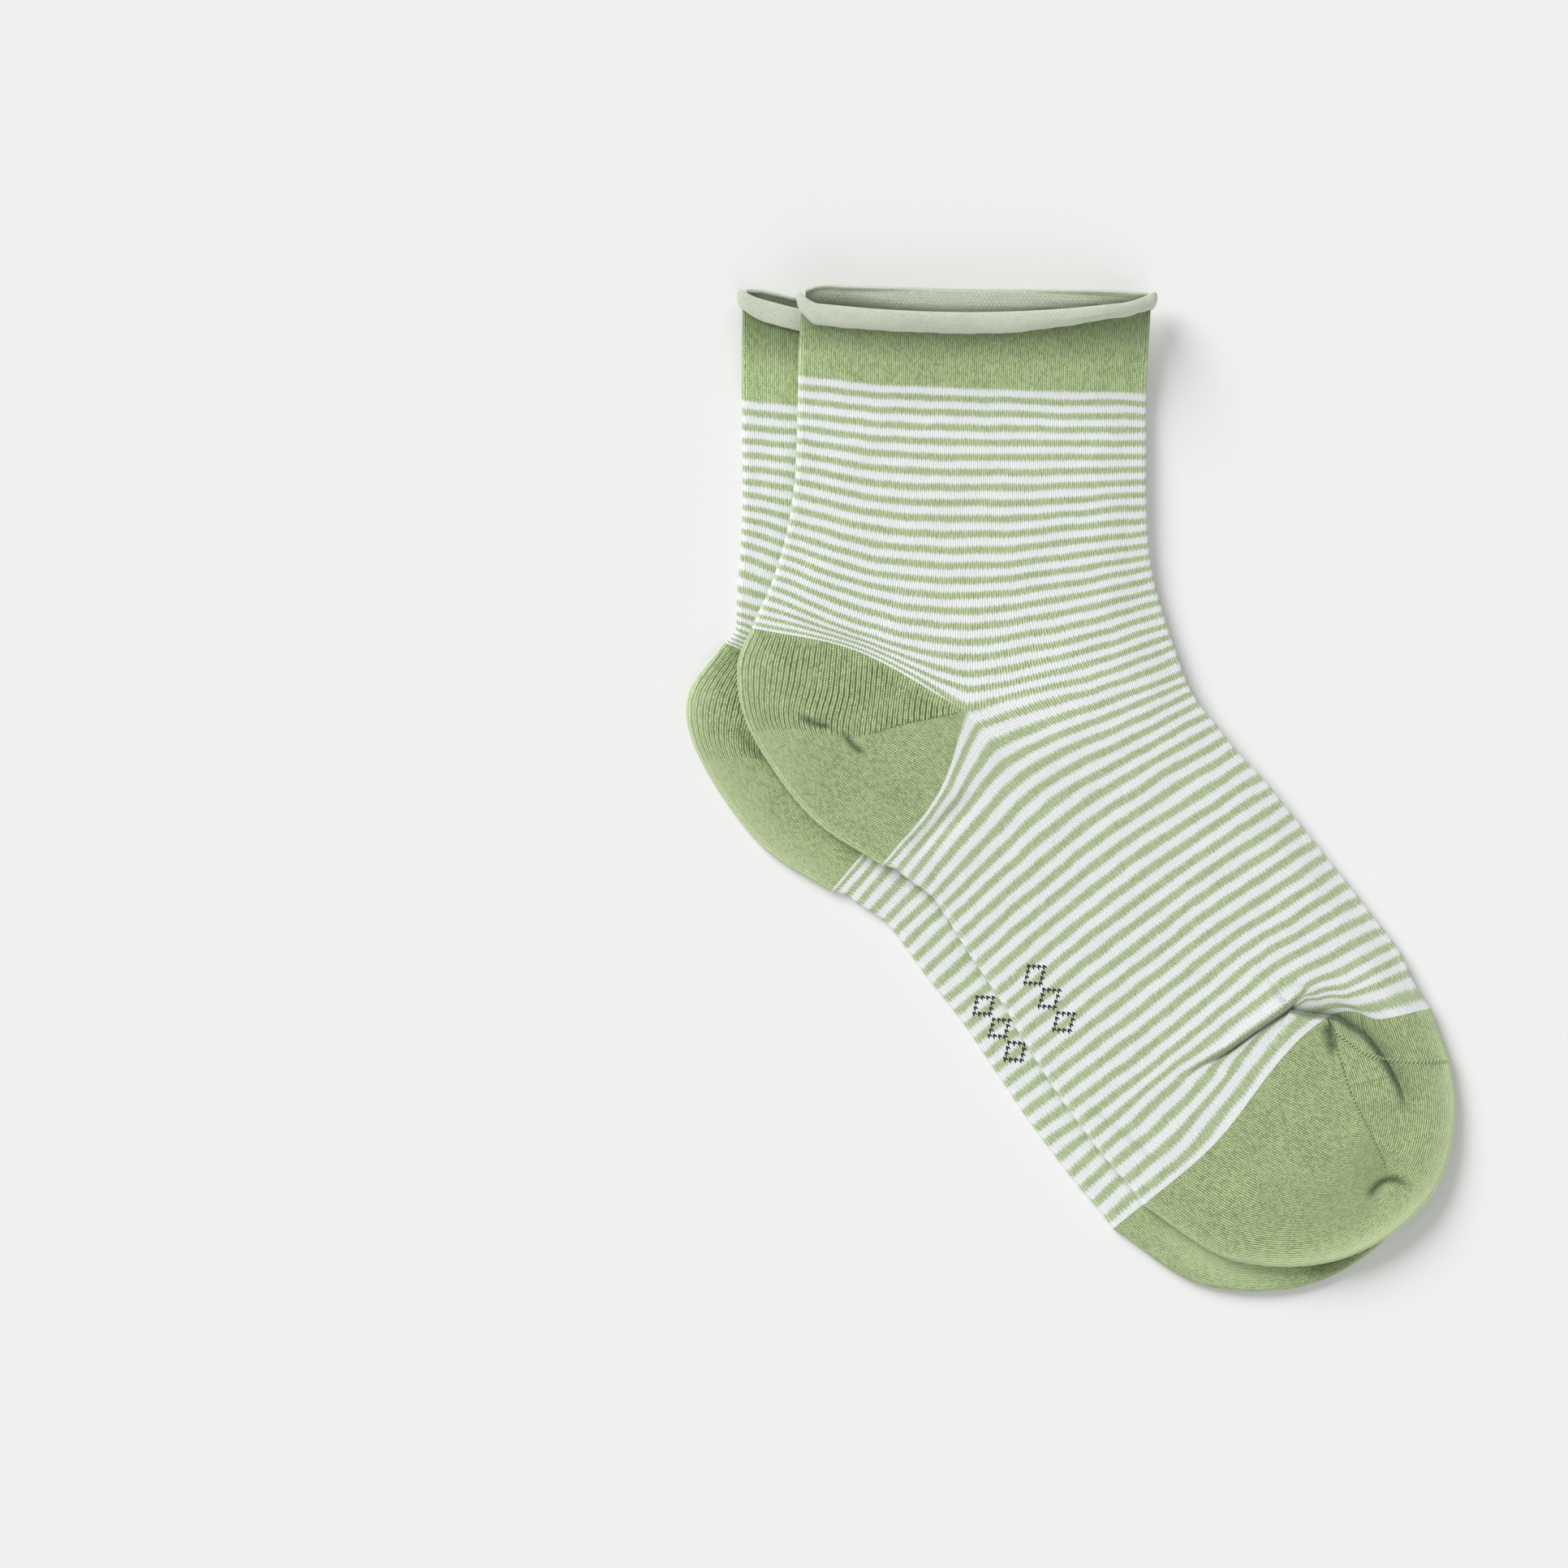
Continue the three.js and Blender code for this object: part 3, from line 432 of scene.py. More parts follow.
def foldStrip(sock, centre, edge, courses, count):  # points round a folded edge, top to underside
    out = edge - centre
    out = out / np.linalg.norm(out, axis=-1, keepdims=True)
    middle = heights(sock, centre, courses, None, False) + cloth["foldRadius"]
    turns = np.linspace(0, 1, count + 2)[1:-1] * math.pi
    strips = []
    for radius in (cloth["foldRadius"], cloth["foldRadius"] - cloth["thickness"]):
        flat = centre[:, None] + out[:, None] * (np.sin(turns) * radius)[None, :, None]
        z = middle[:, None] + np.cos(turns)[None] * radius
        strips.append(np.concatenate([flat, z[..., None]], axis=-1))
    return strips


foldCount = 7


def withHeight(points, z):
    return np.concatenate([points, z[..., None]], axis=-1)


mouthSettings = {
    "ends": (0.42, 0.3),  # how far both ends climb, in shares of the lead of the rim below
    "upperReach": (0.055, 0.09),  # shares of the upper layer over which they do
    "lowerShares": [0, 0.05, 0.12, 0.5, 0.85, 1], "lowerLead": [0.42, 0.77, 0.85, 0.96, 0.66, 0.3],
}


def mouthLead(shares, upper):
    if not upper:
        knots, values = mouthSettings["lowerShares"], np.array(mouthSettings["lowerLead"])[:, None]
        return curveThrough(knots, values, shares.reshape(-1))[:, 0].reshape(shares.shape)
    near, far = mouthSettings["ends"]
    reach = mouthSettings["upperReach"]
    first = np.clip(1 - shares / reach[0], 0, 1) ** 2
    last = np.clip(1 - (1 - shares) / reach[1], 0, 1) ** 2
    return near * first + far * last


def tubeGrid(sock, courses, onFoot):  # closed rings: outer and inner points and the wale numbers
    courses = np.asarray(courses, float)
    first = sock.plan(courses, np.tile([0, 0.125, 0.875, 1.0], (len(courses), 1)), onFoot)
    gaps = np.linalg.norm(first[:, [0, 3]] - first[:, [1, 2]], axis=-1)
    insets = cloth["foldRadius"] * 0.125 / np.maximum(1, gaps)
    lead = sock.rimLead * sock.mouthShare(courses)[:, None]
    ends = mouthSettings["ends"]
    first[..., 1] += lead * np.array([ends[0], ends[0], ends[1], ends[1]])
    column = courses[:, None]
    layers = []
    for steps, upper in ((sock.topSteps, True), (sock.bottomSteps, False)):
        t = np.linspace(0, 1, steps + 1)
        near = insets[:, :1] + (0.5 - insets[:, :1]) * t
        far = 0.5 + (0.5 - insets[:, 1:]) * t[1:]
        shares = np.concatenate([near, far], axis=1)
        points = sock.plan(courses, shares, onFoot)
        points[..., 1] += lead * mouthLead(shares, upper)
        edgeShare = np.minimum(shares, 1 - shares) - insets.min(axis=1, keepdims=True)
        z = heights(sock, points, column, edgeShare, upper)
        wall = cloth["thickness"] * (-1 if upper else 1)
        layers.append((withHeight(points, z), withHeight(points, z + wall), shares))
    (topOuter, topInner, topShares), (lowOuter, lowInner, lowShares) = layers
    frontOuter, frontInner = foldStrip(sock, topOuter[:, -1, :2], first[:, 3], courses, foldCount)
    backOuter, backInner = foldStrip(sock, topOuter[:, 0, :2], first[:, 0], courses, foldCount)
    turns = np.linspace(0, 1, foldCount + 2)[1:-1]
    frontShares = 1 - insets[:, 1:] + 2 * insets[:, 1:] * turns
    backShares = 2 - insets[:, :1] + 2 * insets[:, :1] * turns
    outer = np.concatenate([topOuter, frontOuter, lowOuter[:, ::-1], backOuter[:, ::-1]], axis=1)
    inner = np.concatenate([topInner, frontInner, lowInner[:, ::-1], backInner[:, ::-1]], axis=1)
    around = np.concatenate([topShares, frontShares, 2 - lowShares[:, ::-1], backShares], axis=1)
    return outer, inner, around * cloth["walesPerLayer"] + sock.waleShift


def pouchGrid(sock, planAt, alongs, course):  # open rings from the corner over the fold and back
    edge = planAt(np.array([0.0, 0.25]), alongs)
    inset = cloth["foldRadius"] * 0.25 / np.maximum(1, np.linalg.norm(edge[:, 0] - edge[:, 1], axis=1))
    layers = []
    for steps, upper in ((sock.topSteps, True), (sock.bottomSteps, False)):
        t = np.linspace(0, 1, steps + 1)
        shares = inset[:, None] + (1 - inset[:, None]) * t
        points = np.stack([planAt(shares[r], alongs[r:r + 1])[0] for r in range(len(alongs))])
        points[:, -1] = planAt(np.array([1.0]), alongs[:1])[0, 0]
        edgeShare = shares / 2 - inset[:, None] / 2
        edgeShare[:, -1] = 0.5 - inset[0] / 2
        z = heights(sock, points, course, edgeShare, upper)
        wall = cloth["thickness"] * (-1 if upper else 1)
        layers.append((withHeight(points, z), withHeight(points, z + wall), shares))
    (topOuter, topInner, topShares), (lowOuter, lowInner, lowShares) = layers
    courses = np.full(len(alongs), float(course))
    foldOuter, foldInner = foldStrip(sock, topOuter[:, 0, :2], edge[:, 0], courses, foldCount)
    turns = np.linspace(0, 1, foldCount + 2)[1:-1]
    foldShares = inset[:, None] * (1 - 2 * turns)
    outer = np.concatenate([topOuter[:, ::-1], foldOuter, lowOuter], axis=1)
    inner = np.concatenate([topInner[:, ::-1], foldInner, lowInner], axis=1)
    return outer, inner, np.concatenate([topShares[:, ::-1], foldShares, -lowShares], axis=1)


paintedEdgeLight = {  # painted highlight: folded edges are painted paler, most of all round the heel and the toe
    "shares": [0, 0.16, 0.185, 0.235, 0.25, 0.285, 0.31, 0.5, 0.56, 0.66, 0.7, 1],  # of the outline
    "light": {"upper_sock": [0.45, 0.45, 0.33, 0.33, 0.45, 0.45, 0.45, 0.45, 0.95, 0.95, 0.2, 0.2],
              "under_sock": [0, 0, 0.6, 0.6, 0.6, 0.6, 0, 0, 0, 0, 0, 0]},
    "reach": {"upper_sock": [1.5, 1.5, 9, 9, 1.5, 1.5, 1.5, 1.5, 3.2, 3.2, 1.5, 1.5],
              "under_sock": [1.5, 1.5, 5, 5, 5, 5, 1.5, 1.5, 3.2, 3.2, 1.5, 1.5]},  # mm
}


# painted shade beside the upper sock's edge with a darker spot at the tip, and a painted pale patch on the under toe
paintedGapShadeAndLight = {"dark": 0.12, "reach": 1.5, "tip": (62.8, -116.8), "tipWidth": 8, "tipDark": 0.8,
               "pale": (36, -116), "paleWidth": 19, "paleReach": 5, "paintedHighlight": 0.9}


class Wall:  # gathers grids of points into one closed mesh with a knit map
    def __init__(self):
        self.points, self.faces, self.maps, self.finishes, self.shades = [], [], [], [], []
        self.count = 0

    def addPoints(self, grid, shade=0.0):
        index = self.count + np.arange(grid.shape[0] * grid.shape[1]).reshape(grid.shape[:2])
        self.points.append(grid.reshape(-1, 3))
        self.shades.append(np.broadcast_to(shade, grid.shape[:2]).reshape(-1))
        self.count += index.size
        return index

    def sheet(self, index, wales, rows, flipped=False, finish=0):
        corner = [(slice(None, -1), slice(None, -1)), (slice(1, None), slice(None, -1)),
                  (slice(1, None), slice(1, None)), (slice(None, -1), slice(1, None))]
        if flipped:
            corner.reverse()
        stack = [np.stack([grid[c] for c in corner], axis=-1).reshape(-1, 4)
                 for grid in (index, np.broadcast_to(wales, index.shape), np.broadcast_to(rows, index.shape))]
        self.faces.append(stack[0])
        self.maps.append(np.stack(stack[1:], axis=-1))
        self.finishes.append(np.full(len(stack[0]), finish))

    def rim(self, outer, inner, wales, row, flipped):
        self.sheet(np.stack([outer, inner]), np.stack([wales, wales]), np.array([[row], [row]]), flipped)

    def mesh(self, name, sock):
        points = np.concatenate(self.points)
        shades = np.maximum(np.concatenate(self.shades), paintedFoldShade(sock.folds, points[:, :2]))
        outline = np.array(outlineOf(sock))
        # painted highlight along the sock's own folded edges, kept as negative values where no painted shade lies
        away, side, share = lineReach(outline, points[:, :2])
        light, reach = (np.interp(share, paintedEdgeLight["shares"], paintedEdgeLight[k][sock.name]) for k in ("light", "reach"))
        rim = light * np.exp(-((away / reach) ** 1.5))
        shades = np.where(shades > 0.05, shades, -rim)
        if sock is underSock:  # painted shade in the narrow gap beside the upper sock's edge, darkest near the toe's tip, and a painted pale patch on the under toe that lightens the shadow the upper toe casts
            edge = lineReach(upperOutline, points[:, :2])[0]
            tip = np.linalg.norm(points[:, :2] - paintedGapShadeAndLight["tip"], axis=1) / paintedGapShadeAndLight["tipWidth"]
            deep = paintedGapShadeAndLight["dark"] + paintedGapShadeAndLight["tipDark"] * np.exp(-(tip ** 2))
            gap = deep * np.exp(-edge / (paintedGapShadeAndLight["reach"] * (1 + np.exp(-(tip ** 2)))))
            shades = np.maximum(shades, gap) - rim
            pale = np.linalg.norm(points[:, :2] - paintedGapShadeAndLight["pale"], axis=1) / paintedGapShadeAndLight["paleWidth"]
            shades = shades - paintedGapShadeAndLight["paintedHighlight"] * np.exp(-(pale ** 2) - edge / paintedGapShadeAndLight["paleReach"])
        points = points + [*cloth["frameShift"], 0]
        quads, maps = np.concatenate(self.faces), np.concatenate(self.maps)
        finishes = np.concatenate(self.finishes)
        faces, corners, kept = [], [], []
        for face, uv, finish in zip(quads.tolist(), maps.tolist(), finishes.tolist()):
            keep = [i for i in range(4) if face[i] != face[i - 1]]
            if len(keep) < 3 or len({face[i] for i in keep}) < 3:
                continue
            faces.append([face[i] for i in keep])
            corners.extend(v for i in keep for v in uv[i])
            kept.append(finish)
        used = sorted({v for face in faces for v in face})
        place = {v: i for i, v in enumerate(used)}
        faces = [[place[v] for v in face] for face in faces]
        mesh = bpy.data.meshes.new(name)
        mesh.from_pydata((points[used] * mm).tolist(), [], faces)
        mesh.uv_layers.new(name="knit").data.foreach_set("uv", corners)
        mesh.attributes.new("crease", "FLOAT", "POINT").data.foreach_set("value", shades[used])
        mesh.polygons.foreach_set("material_index", kept)
        mesh.polygons.foreach_set("use_smooth", [True] * len(faces))
        mesh.update()
        volume = sum(p.area * p.normal.dot(p.center) for p in mesh.polygons)
        if volume < 0:
            mesh.flip_normals()
        mesh.set_sharp_from_angle(angle=math.radians(62))
        return mesh


def closedIndex(index):
    return np.concatenate([index, index[:, :1]], axis=1)


def closedWales(wales):
    return np.concatenate([wales, wales[:, :1] + 2 * cloth["walesPerLayer"]], axis=1)


def evenCourses(low, high, pitch):
    count = max(2, round((high - low) * cloth["stripePitch"] / pitch))
    return np.linspace(low, high, count + 1)


# ---------------------------------------------------------------- materials


class Wire:  # one output of a material's nodes; sums on it add Math nodes
    def __init__(self, paint, socket):
        self.paint, self.socket = paint, socket

    def math(self, operation, *values):
        return self.paint.node("ShaderNodeMath", {"operation": operation}, dict(enumerate(values)))

    def __add__(self, other): return self.math("ADD", self, other)
    def __radd__(self, other): return self.math("ADD", other, self)
    def __sub__(self, other): return self.math("SUBTRACT", self, other)
    def __rsub__(self, other): return self.math("SUBTRACT", other, self)
    def __mul__(self, other): return self.math("MULTIPLY", self, other)
    def __rmul__(self, other): return self.math("MULTIPLY", other, self)
    def __truediv__(self, other): return self.math("DIVIDE", self, other)
    def __rtruediv__(self, other): return self.math("DIVIDE", other, self)
    def __pow__(self, other): return self.math("POWER", self, other)
    def __mod__(self, other): return self.math("FLOORED_MODULO", self, other)
    def __lt__(self, other): return self.math("LESS_THAN", self, other)
    def __gt__(self, other): return self.math("GREATER_THAN", self, other)
    def __abs__(self): return self.math("ABSOLUTE", self)
    def floor(self): return self.math("FLOOR", self)
    def fraction(self): return self.math("FRACT", self)
    def sine(self): return self.math("SINE", self)
    def clamped(self): return self.math("MINIMUM", self.math("MAXIMUM", self, 0.0), 1.0)


class Paint:
    def __init__(self, name):
        self.material = bpy.data.materials.new(name)
        self.material.use_nodes = True
        self.tree = self.material.node_tree
        self.tree.nodes.clear()

    def node(self, kind, settings=None, values=None, output=0):
        node = self.tree.nodes.new(kind)
        for key, value in (settings or {}).items():
            if key == "stops":
                while len(node.color_ramp.elements) < len(value):
                    node.color_ramp.elements.new(0.5)
                for element, (place, color) in zip(node.color_ramp.elements, value):
                    element.position, element.color = place, color
            else:
                setattr(node, key, value)
        for key, value in (values or {}).items():
            if isinstance(value, Wire):
                self.tree.links.new(value.socket, node.inputs[key])
            else:
                node.inputs[key].default_value = value
        return Wire(self, node.outputs[output]) if node.outputs else None

    def mix(self, factor, low, high):
        return self.node("ShaderNodeMix", {"data_type": "RGBA"}, {0: factor, 6: low, 7: high}, 2)

    def shade(self, color, amount, by):
        settings = {"data_type": "RGBA", "blend_type": "MULTIPLY"}
        return self.node("ShaderNodeMix", settings, {0: amount, 6: color, 7: by}, 2)

    def knitMap(self, name="knit"):
        uv = self.node("ShaderNodeUVMap", {"uv_map": name})
        return [self.node("ShaderNodeSeparateXYZ", {}, {0: uv}, axis) for axis in (0, 1)]

    def randomOf(self, x, y, z=0.0):
        place = self.node("ShaderNodeCombineXYZ", {}, {0: x, 1: y, 2: z})
        return self.node("ShaderNodeTexWhiteNoise", {"noise_dimensions": "3D"}, {0: place})

    def grain(self, size, detail=2.0, roughness=0.6):  # noise of a size in mm, on the piece itself
        place = self.node("ShaderNodeTexCoord", {}, {}, 3)
        return self.node("ShaderNodeTexNoise", {}, {
            "Vector": place, "Scale": 1 / (size * mm), "Detail": detail, "Roughness": roughness})

    def finish(self, color, height, settings):
        bump = self.node("ShaderNodeBump", {}, {
            "Strength": settings["bump"], "Distance": settings["bumpDepth"] * mm, "Height": height})
        surface = self.node("ShaderNodeBsdfPrincipled", {}, {
            "Base Color": color, "Roughness": settings["roughness"], "Normal": bump,
            "Specular IOR Level": 0.25, "Sheen Weight": settings["sheen"], "Sheen Roughness": 0.5})
        self.node("ShaderNodeOutputMaterial", {}, {0: surface})
        return self.material


def sRgb(*values):
    linear = [(v / 255 / 12.92) if v <= 10 else ((v / 255 + 0.055) / 1.055) ** 2.4 for v in values]
    return (*linear, 1.0)


plainKnit = {
    "light": sRgb(204, 223, 164), "dark": sRgb(80, 107, 54), "white": sRgb(250, 253, 252),
    "whiteDark": sRgb(216, 222, 221), "mark": sRgb(40, 45, 45), "eyelet": sRgb(62, 80, 44),
    # next: the colours that the painted highlight on folded edges mixes towards
    "eyeletDepth": 0.5, "rim": (sRgb(222, 240, 186), sRgb(238, 243, 234)),
    "slant": 0.8,  # how far an arm of a stitch climbs, in rows
    # next: the colour that painted shade in creases, gaps and the mouth multiplies by
    "colorSlant": 0.5, "paintedShadeColor": (0.2, 0.24, 0.15, 1.0),
    "speckle": 0.42, "patch": 0.2, "contrast": 1.25, "bump": 0.8, "bumpDepth": 0.3, "roughness": 0.92, "sheen": 0.5,
    "stripeHalf": 1.16, "stripeSoftness": 0.95,  # in rows, about the middle of a green stripe
    "drift": 1.7,  # how far the stripes wander, in rows
    "markWale": 10, "markRow": 176, "markReach": 12,
}


def stitchFields(paint, wales, rows, slant, gap):
    across = abs(wales.fraction() - 0.5) * 2  # 0 on a stitch's middle line, 1 between two wales
    climb = rows - across * slant
    arm = 1 - abs(across * 2 - 1) ** 2.4
    along = (climb.fraction() * math.pi).sine() ** 0.55
    side = (wales * 2).floor()
    return across, climb, (arm * ((1 - gap) + gap * along)).clamped(), side


def knitMaterial(name, settings, kind):
    paint = Paint(name)
    wales, rows = paint.knitMap()
    wobble = paint.grain(1.1, 1.0) - 0.5
    gap = 0.35 if kind == "stripes" else 0.6  # between the stitches of a wale
    across, climb, relief, side = stitchFields(
        paint, wales + wobble * 0.25, rows + wobble * 0.3, settings["slant"], gap)
    row = climb.floor()
    speck = paint.randomOf(side, row)
    fibre = paint.grain(0.22, 3.0) - 0.5
    patch = paint.grain(9.0, 2.0) - 0.5
    # stitch tops are painted lighter and the hollows between them darker, painted shade along with the yarn's random
    # speckle and fibre tones
    tone = relief ** 0.8 + (speck - 0.5) * settings["speckle"] + fibre * 0.45
    tone = (tone + patch * settings["patch"]).clamped()
    height = relief + fibre * 0.5
    if kind == "stripes":
        drift = (paint.grain(13.0, 1.0) - 0.5) * settings["drift"] + (paint.grain(3.0, 1.0) - 0.5) * 0.5
        flatter = climb + (across - 0.5) * (settings["slant"] - settings["colorSlant"])
        apart = abs((flatter + drift + 2.5) % 5 - 2.5)
        green = ((settings["stripeHalf"] - apart) / settings["stripeSoftness"] + 0.5).clamped()
        white = paint.mix((0.5 + tone * 0.6).clamped(), settings["whiteDark"], settings["white"])
        stripe = paint.mix((0.22 + tone * 0.66).clamped(), settings["dark"], settings["light"])
        color = paint.mix(green, white, stripe)
        wale = abs(wales.floor() - settings["markWale"])
        place = row - settings["markRow"]
        lozenge = wale + abs((place + 4) % 8 - 4)
        ring = (abs(lozenge - 3) < 0.6) * (abs(place) < settings["markReach"])
        color = paint.mix(ring, color, settings["mark"])
        height = relief * (0.55 + 0.45 * green) + fibre * 0.4
    else:
        if kind == "heel":  # the heel's upper half is stretched into ladders, whose grooves are sunk and painted darker as shade
            ladder = (rows * 0.25).clamped() * (0.6 + patch * 2.0).clamped()
            groove = ((across - 0.5) * 3.0).clamped() * ladder
            tone = tone * (1 - groove * 0.9)
            height = height - groove * 0.9
        shown = ((tone - 0.52) * settings["contrast"] + 0.53).clamped()
        color = paint.mix(shown, settings["dark"], settings["light"])
        if kind != "band":
            along, off = paint.knitMap("seam")
            hole = ((along.fraction() - 0.5) / 0.3) ** 2 + (off / 0.36) ** 2
            eyelet = ((1.25 - hole) * 2.0).clamped()
            color = paint.mix(eyelet * settings["eyeletDepth"], color, settings["eyelet"])
            height = height - eyelet * settings["eyeletDepth"]
    # painted shade from creases, gaps, the mouth and the roll darkens the colour; painted highlight on folded edges
    # lightens it
    crease = paint.node("ShaderNodeAttribute", {"attribute_name": "crease"}, {}, 2)
    color = paint.shade(color, crease.clamped(), settings["paintedShadeColor"])
    paintedHighlight = (crease * (-0.5 if kind == "stripes" else -1.0)).clamped()
    color = paint.mix(paintedHighlight, color, settings["rim"][kind == "stripes"])
    return paint.finish(color, height, settings)


purlKnit = {
    "light": sRgb(253, 255, 242), "dark": sRgb(192, 214, 163), "bump": 0.9, "bumpDepth": 0.45,
    # next: the colour that painted shade multiplies by
    "paintedShadeColor": (0.16, 0.2, 0.12, 1.0), "roughness": 1.0, "sheen": 0.6,
}


def purlMaterial(name, settings):  # the reverse of the knit: rows of small bumps, one in each gap above
    paint = Paint(name)
    wales, rows = paint.knitMap()
    wobble = paint.grain(0.9, 2.0) - 0.5
    tall = rows * 0.9 + wobble * 1.3
    brick = wales * 1.0 + (tall.floor() % 2) * 0.5 + wobble * 0.5
    across = (brick * (2 * math.pi)).sine() * 0.5 + 0.5
    ridge = (tall.fraction() * math.pi).sine()
    bump = (ridge ** 0.5 * (0.25 + across * 0.75)).clamped()
    fuzz = paint.grain(0.26, 4.0, 0.75) - 0.5
    tuft = paint.grain(1.4, 3.0) - 0.5
    relief = bump * 0.4 + 0.3 + fuzz * 1.1 + tuft * 0.5
    # bump tops painted paler and hollows darker, painted shade along with the fuzz's random tone
    color = paint.mix((relief * 0.8 + 0.22).clamped(), settings["dark"], settings["light"])
    # painted shade darkens the colour
    crease = paint.node("ShaderNodeAttribute", {"attribute_name": "crease"}, {}, 2)
    color = paint.shade(color, crease.clamped(), settings["paintedShadeColor"])
    return paint.finish(color, relief, settings)


bandGreens = {**plainKnit, "light": sRgb(215, 236, 174), "dark": sRgb(94, 124, 66)}
stripeGreens = {**plainKnit, "light": sRgb(219, 236, 187), "dark": sRgb(106, 135, 80)}
bandKnit = knitMaterial("green band knit", bandGreens, "band")
heelKnit = knitMaterial("green heel knit", plainKnit, "heel")
toeKnit = knitMaterial("green toe knit", plainKnit, "toe")
stripedKnit = knitMaterial("striped knit", stripeGreens, "stripes")
paleKnit = purlMaterial("pale green reverse knit", purlKnit)
print("materials made")

# ---------------------------------------------------------------- the knitted pieces


def paintedFoldShade(folds, points):  # how much painted shade a point of the cloth gets in a crease and from the shadow its raised side casts, from 0 to 1
    depth = np.zeros(len(points))
    for fold in folds.values():
        distance, side, share = lineReach(fold["line"], points)
        fadeIn, fadeOut = fold["fade"]
        ends = smoothStep(share / fadeIn) * smoothStep((1 - share) / fadeOut)
        near = np.exp(-((distance / fold["width"]) ** 2))
        amount, reach = fold.get("cast", (0, 1))  # the softer painted shadow on the low side
        cast = np.where(side < 0, amount * np.exp(-distance / reach), 0)
        depth = np.maximum(depth, ends * np.maximum(near * fold["dark"], cast))
    return depth


def place(name, mesh, node, slot, finishes, flat, area, sock, added=()):
    piece = bpy.data.objects.new(name, mesh)
    scene.collection.objects.link(piece)
    for finish in finishes:
        mesh.materials.append(finish)
    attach(piece, "root")
    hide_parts(node)
    return piece


mouthShades = {
    "slit": 1.0, "slitDepth": 1.7,  # mm behind the front rim over which the mouth darkens
    "slitWider": (2.2, -60, 16),  # mm deeper, about this place across, and how wide
    "underRoll": 0.8, "underRollReach": 3.8,  # courses below the roll that lie in its shade
}


def slitShade(sock, grid):  # of the back layer's inner side, as it goes down into the mouth
    rim = sock.planRow(cloth["rimCourse"], np.linspace(0, 1, 60), False)
    past = grid[..., 1] - np.interp(grid[..., 0], rim[:, 0], rim[:, 1])
    extra, middle, width = mouthShades["slitWider"]
    depth = mouthShades["slitDepth"] + extra * np.exp(-(((grid[..., 0] - middle) / width) ** 2))
    return mouthShades["slit"] * np.clip(1.1 - past / depth, 0, 1)


def isLower(sock, count):  # which points round a ring belong to the lower layer
    first = 2 * sock.topSteps + 1 + foldCount
    place = np.arange(count)
    return (place >= first) & (place < first + 2 * sock.bottomSteps + 1)


def makeBand(sock):
    courses = evenCourses(cloth["rimCourse"] + 0.45, cloth["bandEnd"], sock.rowPitch * 0.8)
    outer, inner, wales = tubeGrid(sock, courses, False)
    rows = courses[:, None] * cloth["rowsPerStripe"]
    lower = isLower(sock, outer.shape[1])
    # painted shadow of the roll on the band below it, and painted shade down into the mouth on the back layer's inside
    below = np.clip((courses + 4.9) / mouthShades["underRollReach"], 0, 1)
    underRoll = (mouthShades["underRoll"] * (1 - smoothStep(below)))[:, None] * ~lower
    wall = Wall()
    outside = closedIndex(wall.addPoints(outer, underRoll))
    inside = closedIndex(wall.addPoints(inner, slitShade(sock, inner) * lower))
    wales = closedWales(wales)
    wall.sheet(outside, wales, rows)
    wall.sheet(inside, wales, rows, True, 1)
    wall.rim(outside[0], inside[0], wales[0], rows[0, 0], True)
    wall.rim(outside[-1], inside[-1], wales[-1], rows[-1, 0], False)
    name = sock.name + "_cuff_band"
    place(name + "_cloth", wall.mesh(name, sock), name, "green_knit", [bandKnit, paleKnit],
          (0.176, 0.021), None, sock)


cornerRows = {  # beside the heel the rows lie off the even count: course, rows off
    "leg": [(20.4, 0), (21.7, -2.1)],
    "foot": [(21.7, -2.1), (22.08, -1.7), (22.2, -1.03), (22.33, -0.4), (23, 0)],
    "sole": [(21.7, -2.1), (22.0, -0.2), (22.4, 0)],
    "reach": 8,  # wales
}


def rowNumbers(sock, courses, wales, part):
    middle = cloth["walesPerLayer"] / 2 + sock.waleShift
    away = np.abs((wales - middle + 84) % 168 - 84)
    near = np.exp(-((away / cornerRows["reach"]) ** 2))
    off = np.interp(courses, *np.array(cornerRows[part]).T)[:, None] * near
    if part == "foot":
        heelSide = np.where((wales < middle) | (wales > middle + 84), 1 - near, 0)
        off = off + np.interp(courses, *np.array(cornerRows["sole"]).T)[:, None] * heelSide
    return courses[:, None] * cloth["rowsPerStripe"] + off


def evenWales(sock, outer, wales, courses):  # near the toe the wales keep their spacing as the rows fan out
    top = 2 * sock.topSteps + 1
    run = np.linalg.norm(np.diff(outer[:, :top], axis=1), axis=-1).cumsum(axis=1)
    first, last = wales[:, :1], wales[:, top - 1:top]
    even = first + (last - first) * np.concatenate([np.zeros_like(first), run], axis=1) / run[:, -1:]
    out = wales.copy()
    out[:, :top] += smoothStep((courses[:, None] - 24) / 6) * (even - wales[:, :top])
    return out


